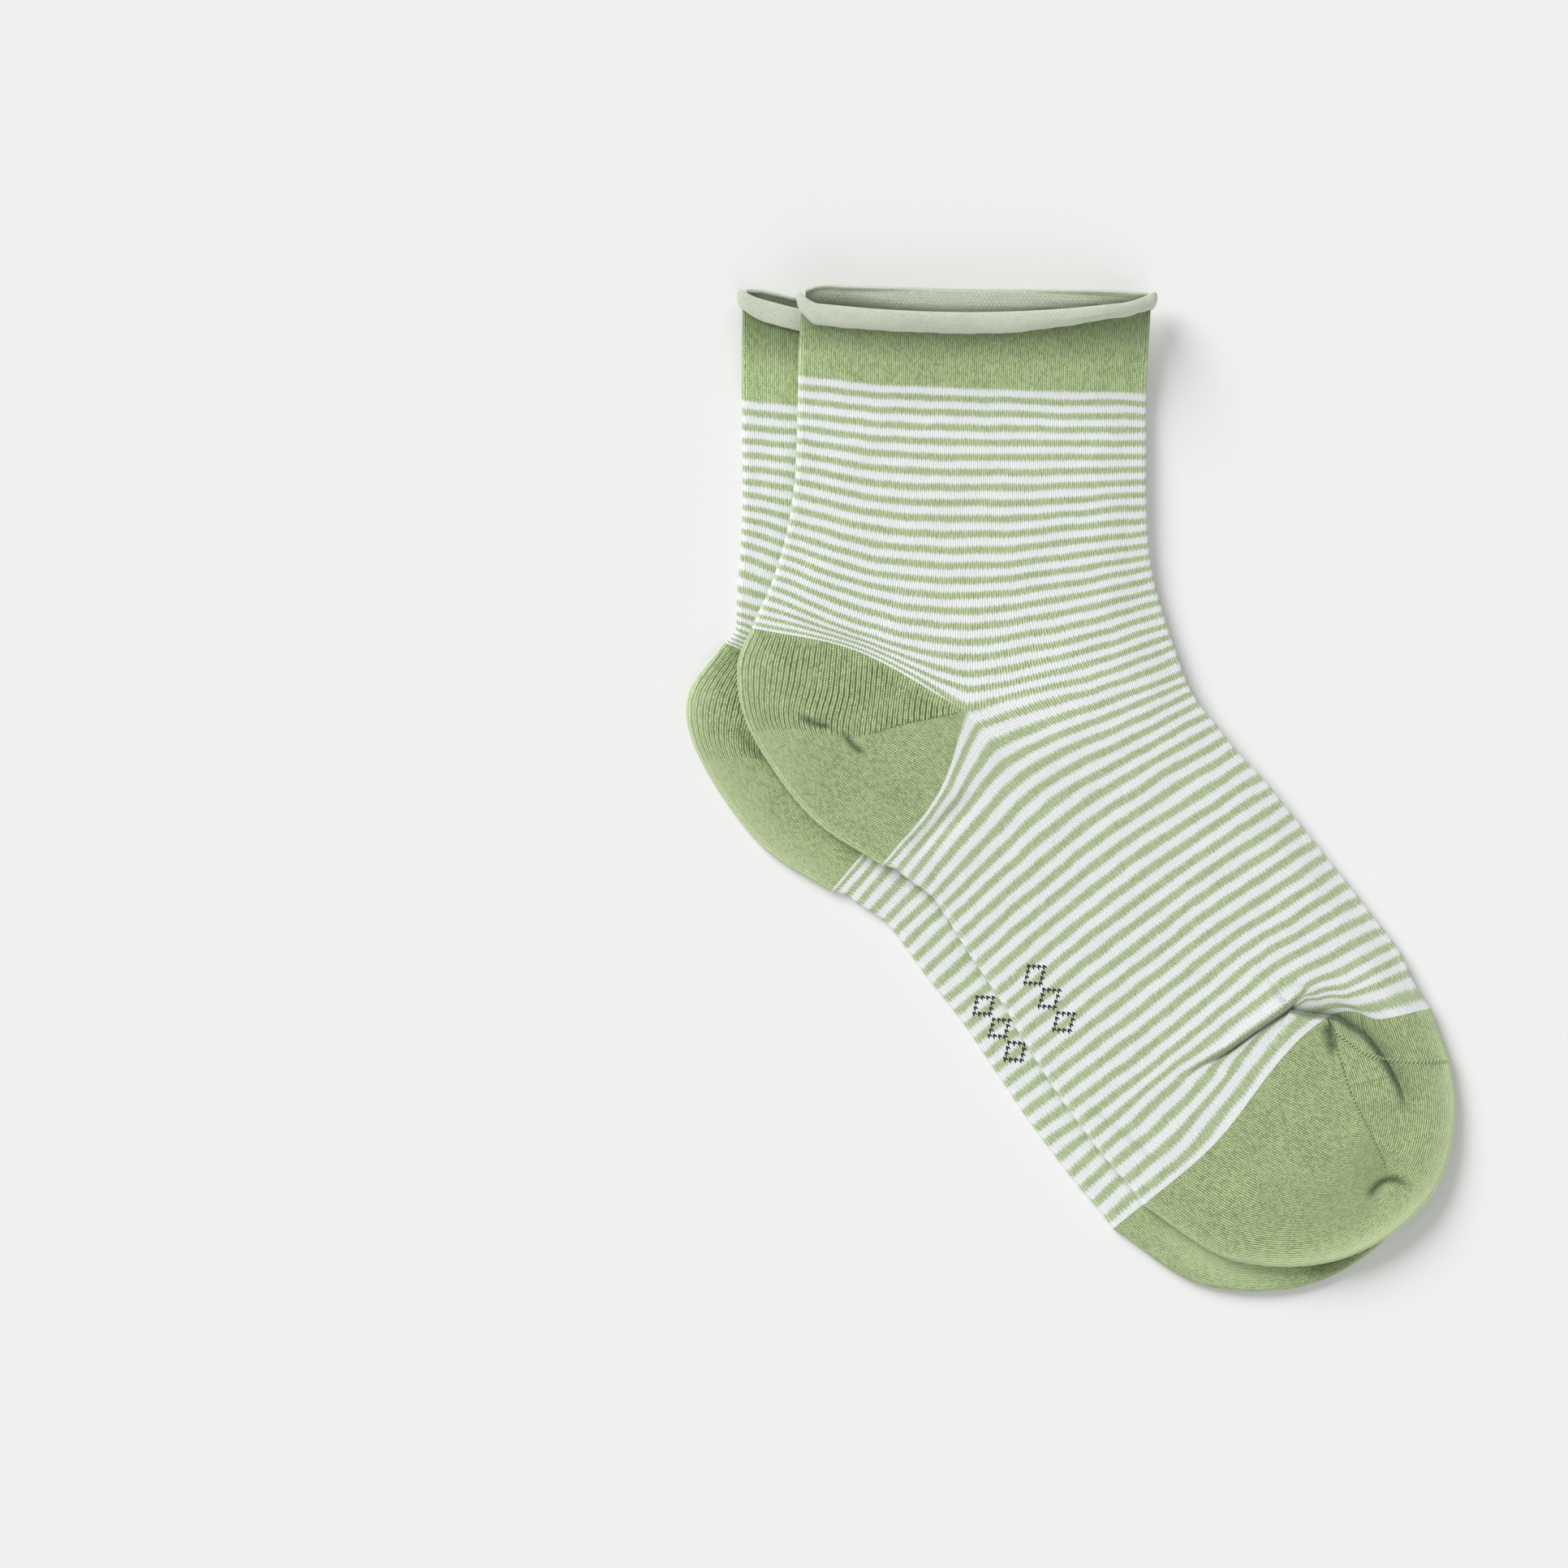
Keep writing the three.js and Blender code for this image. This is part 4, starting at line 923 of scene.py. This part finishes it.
def makeLegAndFoot(sock):
    legCourses = evenCourses(cloth["bandEnd"], cloth["heelCourse"], sock.rowPitch)
    footCourses = np.concatenate([
        evenCourses(cloth["heelCourse"], 26, sock.rowPitch * 0.6),
        evenCourses(26, 40.5, sock.rowPitch)[1:],
        evenCourses(40.5, cloth["toeCourse"], sock.fineRowPitch)[1:]])
    leg, foot = tubeGrid(sock, legCourses, False), tubeGrid(sock, footCourses, True)
    foot = (foot[0], foot[1], evenWales(sock, foot[0], foot[2], footCourses))
    wall = Wall()
    wallIndex = []
    for outer, inner, wales in (leg, foot):
        wallIndex.append([wall.addPoints(outer), wall.addPoints(inner)])
    middle = sock.topSteps  # columns of the middle wale on the upper and lower layer
    under = 2 * sock.topSteps + 1 + foldCount + sock.bottomSteps
    for part in (0, 1):
        wallIndex[1][part][0, middle:under + 1] = wallIndex[0][part][-1, middle:under + 1]
    for (outer, inner, wales), courses, indices, part in zip(
            (leg, foot), (legCourses, footCourses), wallIndex, ("leg", "foot")):
        around = closedWales(wales)
        rows = rowNumbers(sock, courses, around, part)
        wall.sheet(closedIndex(indices[0]), around, rows)
        wall.sheet(closedIndex(indices[1]), around, rows, True)
    count = leg[0].shape[1]
    heelSide = [i % count for i in range(under, count + middle + 1)]
    top, low = closedIndex(wallIndex[0][0]), closedIndex(wallIndex[0][1])
    wall.rim(top[0], low[0], closedWales(leg[2])[0], cloth["bandEnd"] * 5, True)
    wall.rim(wallIndex[0][0][-1, heelSide], wallIndex[0][1][-1, heelSide], leg[2][-1, heelSide], 108.5, False)
    wall.rim(wallIndex[1][0][0, heelSide], wallIndex[1][1][0, heelSide], foot[2][0, heelSide], 108.5, True)
    top, low = closedIndex(wallIndex[1][0]), closedIndex(wallIndex[1][1])
    wall.rim(top[-1], low[-1], closedWales(foot[2])[-1], 238.5, False)
    name = sock.name + "_leg_and_foot"
    place(name + "_cloth", wall.mesh(name, sock), name, "striped_knit", [stripedKnit],
          (0.2, 0.168), 0.032, sock)


pouchSettings = {"heelWales": 42, "toeWales": 42, "rowPitch": 0.66, "walePitch": 1.1, "seamPitch": 0.95}


def runDown(grid):  # distance down each column, from the first row
    steps = np.linalg.norm(np.diff(grid[..., :2], axis=0), axis=-1)
    return np.concatenate([np.zeros((1, grid.shape[1])), np.cumsum(steps, axis=0)])


def seamMap(mesh, seams):  # where a point lies along the nearest seam, and how far off, in stitches
    points = np.empty(len(mesh.vertices) * 3)
    mesh.vertices.foreach_get("co", points)
    points = points.reshape(-1, 3)
    flat = points[:, :2] / mm - cloth["frameShift"]
    best = np.full(len(flat), 99.0)
    values = np.zeros((len(flat), 2))
    for seam in seams:
        length = np.linalg.norm(np.diff(seam, axis=0), axis=1).sum()
        distance, side, share = lineReach(seam, flat)
        distance = np.where((share <= 0) | (share >= 1), 99.0, distance)
        near = distance < best
        best = np.where(near, distance, best)
        along = share * length / pouchSettings["seamPitch"]
        values[near] = np.stack([along, distance * side / pouchSettings["seamPitch"]], axis=1)[near]
    values[best >= 99.0] = 9
    corner = np.empty(len(mesh.loops), int)
    mesh.loops.foreach_get("vertex_index", corner)
    mesh.uv_layers.new(name="seam").data.foreach_set("uv", values[corner].reshape(-1))
    mesh.uv_layers.active_index = 0


def closePouch(wall, outside, inside, wales, rows):
    for index in (outside, inside):
        index[:, 0], index[:, -1] = index[0, 0], index[0, -1]
    wall.rim(outside[0], inside[0], wales[0], 0, True)
    wall.rim(outside[-1], inside[-1], wales[-1], 0, False)


def makeHeel(sock):
    count = 60 if sock is upperSock else 30
    alongs = np.concatenate([np.linspace(0, 0.5, count + 1), np.linspace(0.5, 1, count + 1)[1:]])
    outer, inner, shares = pouchGrid(sock, sock.heelPlan, alongs, cloth["heelCourse"])
    wales = shares * pouchSettings["heelWales"]
    run = runDown(outer) / pouchSettings["rowPitch"]
    wall = Wall()
    outside, inside = wall.addPoints(outer), wall.addPoints(inner)
    closePouch(wall, outside, inside, wales, run)
    for rows, part in ((run, slice(0, count + 1)), (run - run[-1:], slice(count, None))):
        wall.sheet(outside[part], wales[part], rows[part])
        wall.sheet(inside[part], wales[part], rows[part], True, 1)
    name = sock.name + "_heel"
    seam = sock.heelPlan(np.linspace(0.97, 0.6, 40), [0.5])[0]
    piece = place(name + "_cloth", wall.mesh(name, sock), name, "green_knit", [heelKnit, paleKnit],
                  (0.106, 0.056), 0.0039, sock)
    seamMap(piece.data, [seam])


toeMap = {"slant": -31, "joint": 26.0, "near": 5.0, "far": 25.0}  # degrees, mm


def outlineMap(sock, points, beforeGore):  # straight wales as far as the gore, and round the tip beside the outline
    flat = points.reshape(-1, 2)
    outline = sock.toePlan(np.zeros(1), np.linspace(0, 2, 161))[:, 0]
    run = np.concatenate([[0], np.cumsum(np.linalg.norm(np.diff(outline, axis=0), axis=1))])
    distance, side, share = lineReach(outline, flat)
    along = np.interp(share, np.linspace(0, 1, len(outline)), run)
    wales, rows = -distance, along
    if beforeGore:
        slant = math.radians(toeMap["slant"])
        joint = np.searchsorted(run, toeMap["joint"])  # both counts agree at this place on the outline
        gap = flat - outline[joint]
        straight = gap @ [math.cos(slant), math.sin(slant)] + run[joint]
        aside = gap @ [math.sin(slant), -math.cos(slant)]
        blend = smoothStep((distance - toeMap["near"]) / (toeMap["far"] - toeMap["near"]))
        wales = wales + blend * (aside - wales)
        rows = rows + blend * (straight - rows)
    shape = points.shape[:-1]
    return (wales / pouchSettings["walePitch"]).reshape(shape), (rows / pouchSettings["rowPitch"]).reshape(shape)


def makeToe(sock):
    fine = 0.62 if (sock is upperSock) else 1.3
    gore, end = toeKnots[2], 2
    alongs = np.concatenate([np.linspace(0, gore, round(32 / fine) + 1),
                             np.linspace(gore, 1, round(34 / fine) + 1)[1:],
                             np.linspace(1, end, round(9 / fine) + 1)[1:]])
    bend = round(32 / fine)
    outer, inner, shares = pouchGrid(sock, sock.toePlan, alongs, cloth["toeCourse"])
    wales = shares * pouchSettings["toeWales"]
    run = runDown(outer) / pouchSettings["rowPitch"]
    wall = Wall()
    outside, inside = wall.addPoints(outer), wall.addPoints(inner)
    closePouch(wall, outside, inside, wales, run)
    for before, part in ((True, slice(0, bend + 1)), (False, slice(bend, None))):
        mapWales, mapRows = outlineMap(sock, outer[part, :, :2], before)
        turned = np.linalg.norm(np.diff(outer[part, sock.topSteps:], axis=1), axis=-1).cumsum(axis=1)
        edge = mapWales[:, sock.topSteps:sock.topSteps + 1]
        mapWales[:, sock.topSteps + 1:] = edge + turned / pouchSettings["walePitch"]  # round the folded edge
        wall.sheet(outside[part], mapWales, mapRows)
        wall.sheet(inside[part], mapWales, mapRows, True, 1)
    name = sock.name + "_toe"
    stitches = toeSeam(sock, outer, shares, int(np.argmin(np.abs(alongs - 1))))
    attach(stitches, "root")
    piece = place(name + "_cloth", wall.mesh(name, sock), name, "green_knit", [toeKnit, paleKnit],
                  (0.12, 0.08), 0.006, sock, [stitches])
    gore = sock.toePlan(np.linspace(0.98, 0.3, 40), [toeKnots[2]])[0]
    seamMap(piece.data, [gore, sock.toePlan(np.linspace(0.99, 0.02, 40), [1.0])[0]])


stitchSettings = {
    "Pitch": 0.95, "Thread": 0.2, "Length": 1.35, "Arch": 0.3, "Lean": 52.0,  # mm and degrees
}


def stitchTree(settings, finish):  # lays one slanted loop of thread after another along a line
    tree = bpy.data.node_groups.new("linking stitches", "GeometryNodeTree")
    tree.interface.new_socket("Geometry", in_out="INPUT", socket_type="NodeSocketGeometry")
    names = {}
    for key, value in settings.items():
        socket = tree.interface.new_socket(key, in_out="INPUT", socket_type="NodeSocketFloat")
        socket.default_value = value
        names[key] = socket.identifier
    tree.interface.new_socket("Geometry", in_out="OUTPUT", socket_type="NodeSocketGeometry")

    def add(kind, values=None, **attributes):
        node = tree.nodes.new(kind)
        for key, value in attributes.items():
            setattr(node, key, value)
        for key, value in (values or {}).items():
            if isinstance(value, bpy.types.NodeSocket):
                tree.links.new(value, node.inputs[key])
            else:
                node.inputs[key].default_value = value
        return node

    group = add("NodeGroupInput")
    given = group.outputs
    line = add("GeometryNodeMeshToCurve", {"Mesh": given["Geometry"]})
    spaced = add("GeometryNodeResampleCurve", {"Curve": line.outputs[0], "Length": given["Pitch"]}, mode="LENGTH")
    half = add("ShaderNodeMath", {0: given["Length"], 1: 0.5}, operation="MULTIPLY")
    back = add("ShaderNodeMath", {0: given["Length"], 1: -0.5}, operation="MULTIPLY")
    sunk = add("ShaderNodeMath", {0: given["Arch"], 1: -0.7}, operation="MULTIPLY")
    top = add("ShaderNodeMath", {0: given["Arch"], 1: 1.6}, operation="MULTIPLY")
    start = add("ShaderNodeCombineXYZ", {"X": back.outputs[0], "Z": sunk.outputs[0]})
    middle = add("ShaderNodeCombineXYZ", {"Z": top.outputs[0]})
    end = add("ShaderNodeCombineXYZ", {"X": half.outputs[0], "Z": sunk.outputs[0]})
    bow = add("GeometryNodeCurveQuadraticBezier", {
        "Resolution": 5, "Start": start.outputs[0], "Middle": middle.outputs[0], "End": end.outputs[0]})
    ring = add("GeometryNodeCurvePrimitiveCircle", {"Resolution": 6, "Radius": given["Thread"]})
    thread = add("GeometryNodeCurveToMesh", {
        "Curve": bow.outputs[0], "Profile Curve": ring.outputs[0], "Fill Caps": True})
    along = add("GeometryNodeInputTangent")
    upward = add("GeometryNodeInputNamedAttribute", {"Name": "upward"}, data_type="FLOAT_VECTOR")
    turn = add("FunctionNodeAlignRotationToVector", {"Vector": upward.outputs[0]}, axis="Z")
    turn = add("FunctionNodeAlignRotationToVector", {
        "Rotation": turn.outputs[0], "Vector": along.outputs[0]}, axis="X", pivot_axis="Z")
    lean = add("ShaderNodeMath", {0: given["Lean"], 1: math.pi / 180}, operation="MULTIPLY")
    tilt = add("ShaderNodeCombineXYZ", {"Z": lean.outputs[0]})
    turn = add("FunctionNodeRotateRotation", {
        "Rotation": turn.outputs[0], "Rotate By": tilt.outputs[0]}, rotation_space="LOCAL")
    loops = add("GeometryNodeInstanceOnPoints", {
        "Points": spaced.outputs[0], "Instance": thread.outputs[0], "Rotation": turn.outputs[0]})
    real = add("GeometryNodeRealizeInstances", {"Geometry": loops.outputs[0]})
    dressed = add("GeometryNodeSetMaterial", {"Geometry": real.outputs[0], "Material": finish})
    out = add("NodeGroupOutput")
    tree.links.new(dressed.outputs[0], out.inputs[0])
    return tree, names


def layStitches(name, path, upward, settings, finish):
    mesh = bpy.data.meshes.new(name + "_path")
    edges = [(i, i + 1) for i in range(len(path) - 1)]
    mesh.from_pydata(((path + [*cloth["frameShift"], 0]) * mm).tolist(), edges, [])
    mesh.attributes.new("upward", "FLOAT_VECTOR", "POINT").data.foreach_set("vector", upward.reshape(-1))
    line = bpy.data.objects.new(name + "_path", mesh)
    scene.collection.objects.link(line)
    tree, names = stitchTree(settings, finish)
    modifier = line.modifiers.new("stitches", "NODES")
    modifier.node_group = tree
    for key, value in settings.items():
        modifier[names[key]] = value if key == "Lean" else value * mm
    evaluated = line.evaluated_get(bpy.context.evaluated_depsgraph_get())
    made = bpy.data.meshes.new_from_object(evaluated)
    made.name = name
    piece = bpy.data.objects.new(name, made)
    scene.collection.objects.link(piece)
    bpy.data.objects.remove(line)
    for face in made.polygons:
        face.use_smooth = True
    return piece


yarnSettings = {"light": sRgb(214, 226, 178), "dark": sRgb(120, 140, 92), "twist": 0.35, "bump": 0.5}


def yarnMaterial(settings):
    paint = Paint("green linking yarn")
    fibre = paint.grain(settings["twist"], 4.0, 0.7)
    fine = paint.grain(0.1, 2.0)
    tone = (fibre * 0.8 + fine * 0.4 - 0.1).clamped()
    color = paint.mix(tone, settings["dark"], settings["light"])
    return paint.finish(color, tone, {"bump": settings["bump"], "bumpDepth": 0.12, "roughness": 0.9,
                                      "sheen": 0.4})


yarn = yarnMaterial(yarnSettings)


def toeSeam(sock, outer, shares, row):  # stitches over the toe seam, on the side that shows
    line = outer[row]
    keep = (shares[row] < 0.98) & (shares[row] > 0.02)
    line = line[keep]
    before, after = outer[row - 2][keep], outer[row + 2][keep]
    upward = np.cross(np.gradient(line, axis=0), after - before)
    upward /= np.linalg.norm(upward, axis=1, keepdims=True)
    upward *= np.sign(upward[:, 2:])
    name = sock.name + "_toe_seam_stitches"
    return layStitches(name, line, upward, stitchSettings, yarn)


rollSettings = {
    "length": 5.6, "pressed": 1.6, "atFold": 1.7, "turn": 2.2,
    "endReach": 21, "endBulge": 1.3,  # points round the ring over which an end thickens inwards, and how far
    # section: share of the length above the mouth, and out from the band's face
    "section": [(-0.36, -1), (-0.16, -1), (-0.05, -0.75), (0, -0.2), (0, 0.28), (-0.06, 0.62),
                (-0.2, 0.88), (-0.42, 1), (-0.66, 0.96), (-0.86, 0.8), (-0.98, 0.56), (-0.97, 0.34),
                (-0.86, 0.26), (-0.36, 0.26)],
}


def rollRows(sock, settings):
    rim, rimInner, wales = tubeGrid(sock, [cloth["rimCourse"]], False)
    lower, _, _ = tubeGrid(sock, [cloth["rimCourse"] + settings["length"] / cloth["stripePitch"]], False)
    rim, rimInner, lower = rim[0], rimInner[0], lower[0]
    count = len(rim)
    top = 2 * sock.topSteps + 1
    low = 2 * sock.bottomSteps + 1
    place = np.arange(count)
    onTop = place < top
    onLow = (place >= top + foldCount) & (place < top + foldCount + low)
    out = rim - rimInner
    out = out / np.linalg.norm(out, axis=1, keepdims=True)
    up = rim - lower
    up = up / np.linalg.norm(up, axis=1, keepdims=True)
    thickness = np.where(onTop, sock.rollThickness, settings["pressed"])
    thickness = np.where(onTop | onLow, thickness, settings["atFold"])
    kernel = np.ones(9) / 9  # the thickness changes gently round the folds
    thickness = np.convolve(np.concatenate([thickness[-4:], thickness, thickness[:4]]), kernel, "valid")
    short = np.where(onTop, 1 - 0.35 * smoothStep((place / top - 0.55) * 2.4), 0.8)
    short = np.convolve(np.concatenate([short[-4:], short, short[:4]]), kernel, "valid")
    atEnd = np.convolve(np.tile(~(onTop | onLow), 3), np.ones(settings["endReach"]) / foldCount, "same")
    inwards = cloth["thickness"] + settings["endBulge"] * np.minimum(1, atEnd[count:2 * count])
    section = np.array(settings["section"])
    closed = np.vstack([section, section[:1]])
    steps = np.linspace(0, len(section), 3 * len(section) + 1)[:-1]
    smooth = curveThrough(np.arange(len(closed)), closed, steps)
    wave = 0.06 * np.sin(place * 0.21) + 0.05 * np.sin(place * 0.47 + 1)
    grid = np.empty((len(smooth), count, 3))
    for r, (above, outwards) in enumerate(smooth):
        bulge = np.where(above > -0.15, inwards, cloth["thickness"])
        distance = outwards * (bulge if outwards < 0 else thickness)
        raised = above * settings["length"]
        hem = smoothStep((-raised - settings["turn"]) / 2)
        raised = raised * (1 + (short - 1) * hem) + wave * hem
        grid[r] = rim + up * np.broadcast_to(raised, count)[:, None] \
            + out * np.broadcast_to(distance, count)[:, None]
    run = np.concatenate([[0], np.cumsum(np.linalg.norm(np.diff(smooth * [5.6, 2.2], axis=0), axis=1))])
    return grid, wales[0], run / 0.65


def makeRoll(sock):
    grid, wales, rows = rollRows(sock, rollSettings)
    wall = Wall()
    # painted shade where the back layer's roll goes down into the mouth
    shade = slitShade(sock, grid) * isLower(sock, grid.shape[1])
    index = closedIndex(wall.addPoints(grid, shade))
    index = np.concatenate([index, index[:1]])
    wales = np.concatenate([wales, wales[:1] + 2 * cloth["walesPerLayer"]])
    rows = np.concatenate([rows, rows[-1:] + 0.8])[:, None]
    wall.sheet(index, wales[None], rows)
    name = sock.name + "_rolled_edge"
    return place(name + "_cloth", wall.mesh(name, sock), name, "pale_green_knit", [paleKnit],
                 (0.176, 0.01), 0.00125, sock)


for sock in (underSock, upperSock):
    makeBand(sock)
    makeLegAndFoot(sock)
    makeHeel(sock)
    makeToe(sock)
    makeRoll(sock)
    print(sock.name, "made")

# ---------------------------------------------------------------- floor, light and camera

stageSettings = {
    "floorColor": sRgb(244, 244, 244), "floorSize": 6.0,
    "imagePixels": 1932, "pixel": 0.2 * mm, "cameraHeight": 4.0,
    "imageCentre": (-70.8, 1.4),  # mm, of the photograph's middle in the drawing of the socks
    "keySlant": 56, "keyTurn": 42,  # degrees from straight down, and round from the top towards the left
    "keyPower": 2.6, "keySoftness": 0.6,
    "fillSlant": 62, "fillTurn": 30, "fillPower": 1.1, "fillSoftness": 1.3,  # throws no shadow
    "skyColor": (1.0, 1.0, 1.0), "skyStrength": 0.335,
}


def makeStage(settings):
    half = settings["floorSize"] / 2
    mesh = bpy.data.meshes.new("floor")
    mesh.from_pydata([(-half, -half, 0), (half, -half, 0), (half, half, 0), (-half, half, 0)], [], [(0, 1, 2, 3)])
    floor = bpy.data.objects.new("floor", mesh)
    scene.collection.objects.link(floor)
    for corner in mesh.vertices:
        corner.co.z = -0.0001
    paint = Paint("plain paper floor")
    surface = paint.node("ShaderNodeBsdfPrincipled", {}, {
        "Base Color": settings["floorColor"], "Roughness": 1.0, "Specular IOR Level": 0.0})
    paint.node("ShaderNodeOutputMaterial", {}, {0: surface})
    mesh.materials.append(paint.material)


def makeLights(settings):
    key = bpy.data.lights.new("key", "SUN")
    key.energy, key.angle = settings["keyPower"], settings["keySoftness"]
    lamp = bpy.data.objects.new("key", key)
    scene.collection.objects.link(lamp)
    lamp.location = (-0.9, 1.1, 1.6)
    lamp.rotation_euler = (-math.radians(settings["keySlant"]), 0, math.radians(settings["keyTurn"]))
    fill = bpy.data.lights.new("fill", "SUN")
    fill.energy, fill.angle = settings["fillPower"], settings["fillSoftness"]
    fill.use_shadow = False
    lamp = bpy.data.objects.new("fill", fill)
    scene.collection.objects.link(lamp)
    lamp.location = (1.0, -1.2, 1.0)
    lamp.rotation_euler = (math.radians(settings["fillSlant"]), 0, math.radians(settings["fillTurn"]))
    world = bpy.data.worlds.new("studio")
    scene.world = world
    world.use_nodes = True
    sky = world.node_tree.nodes["Background"]
    sky.inputs[0].default_value = (*settings["skyColor"], 1)
    sky.inputs[1].default_value = settings["skyStrength"]


def makeCamera(settings):
    data = bpy.data.cameras.new("camera")
    camera = bpy.data.objects.new("camera", data)
    scene.collection.objects.link(camera)
    across = settings["imagePixels"] * settings["pixel"]
    data.sensor_width = 36
    data.lens = 36 * settings["cameraHeight"] / across
    data.clip_end = 20
    shift = cloth["frameShift"]
    x, y = ((c + s) * mm for c, s in zip(settings["imageCentre"], shift))
    camera.location = (x, y, settings["cameraHeight"])
    scene.camera = camera


makeStage(stageSettings)
makeLights(stageSettings)
makeCamera(stageSettings)
scene.view_settings.view_transform = "Standard"
print("stage made")
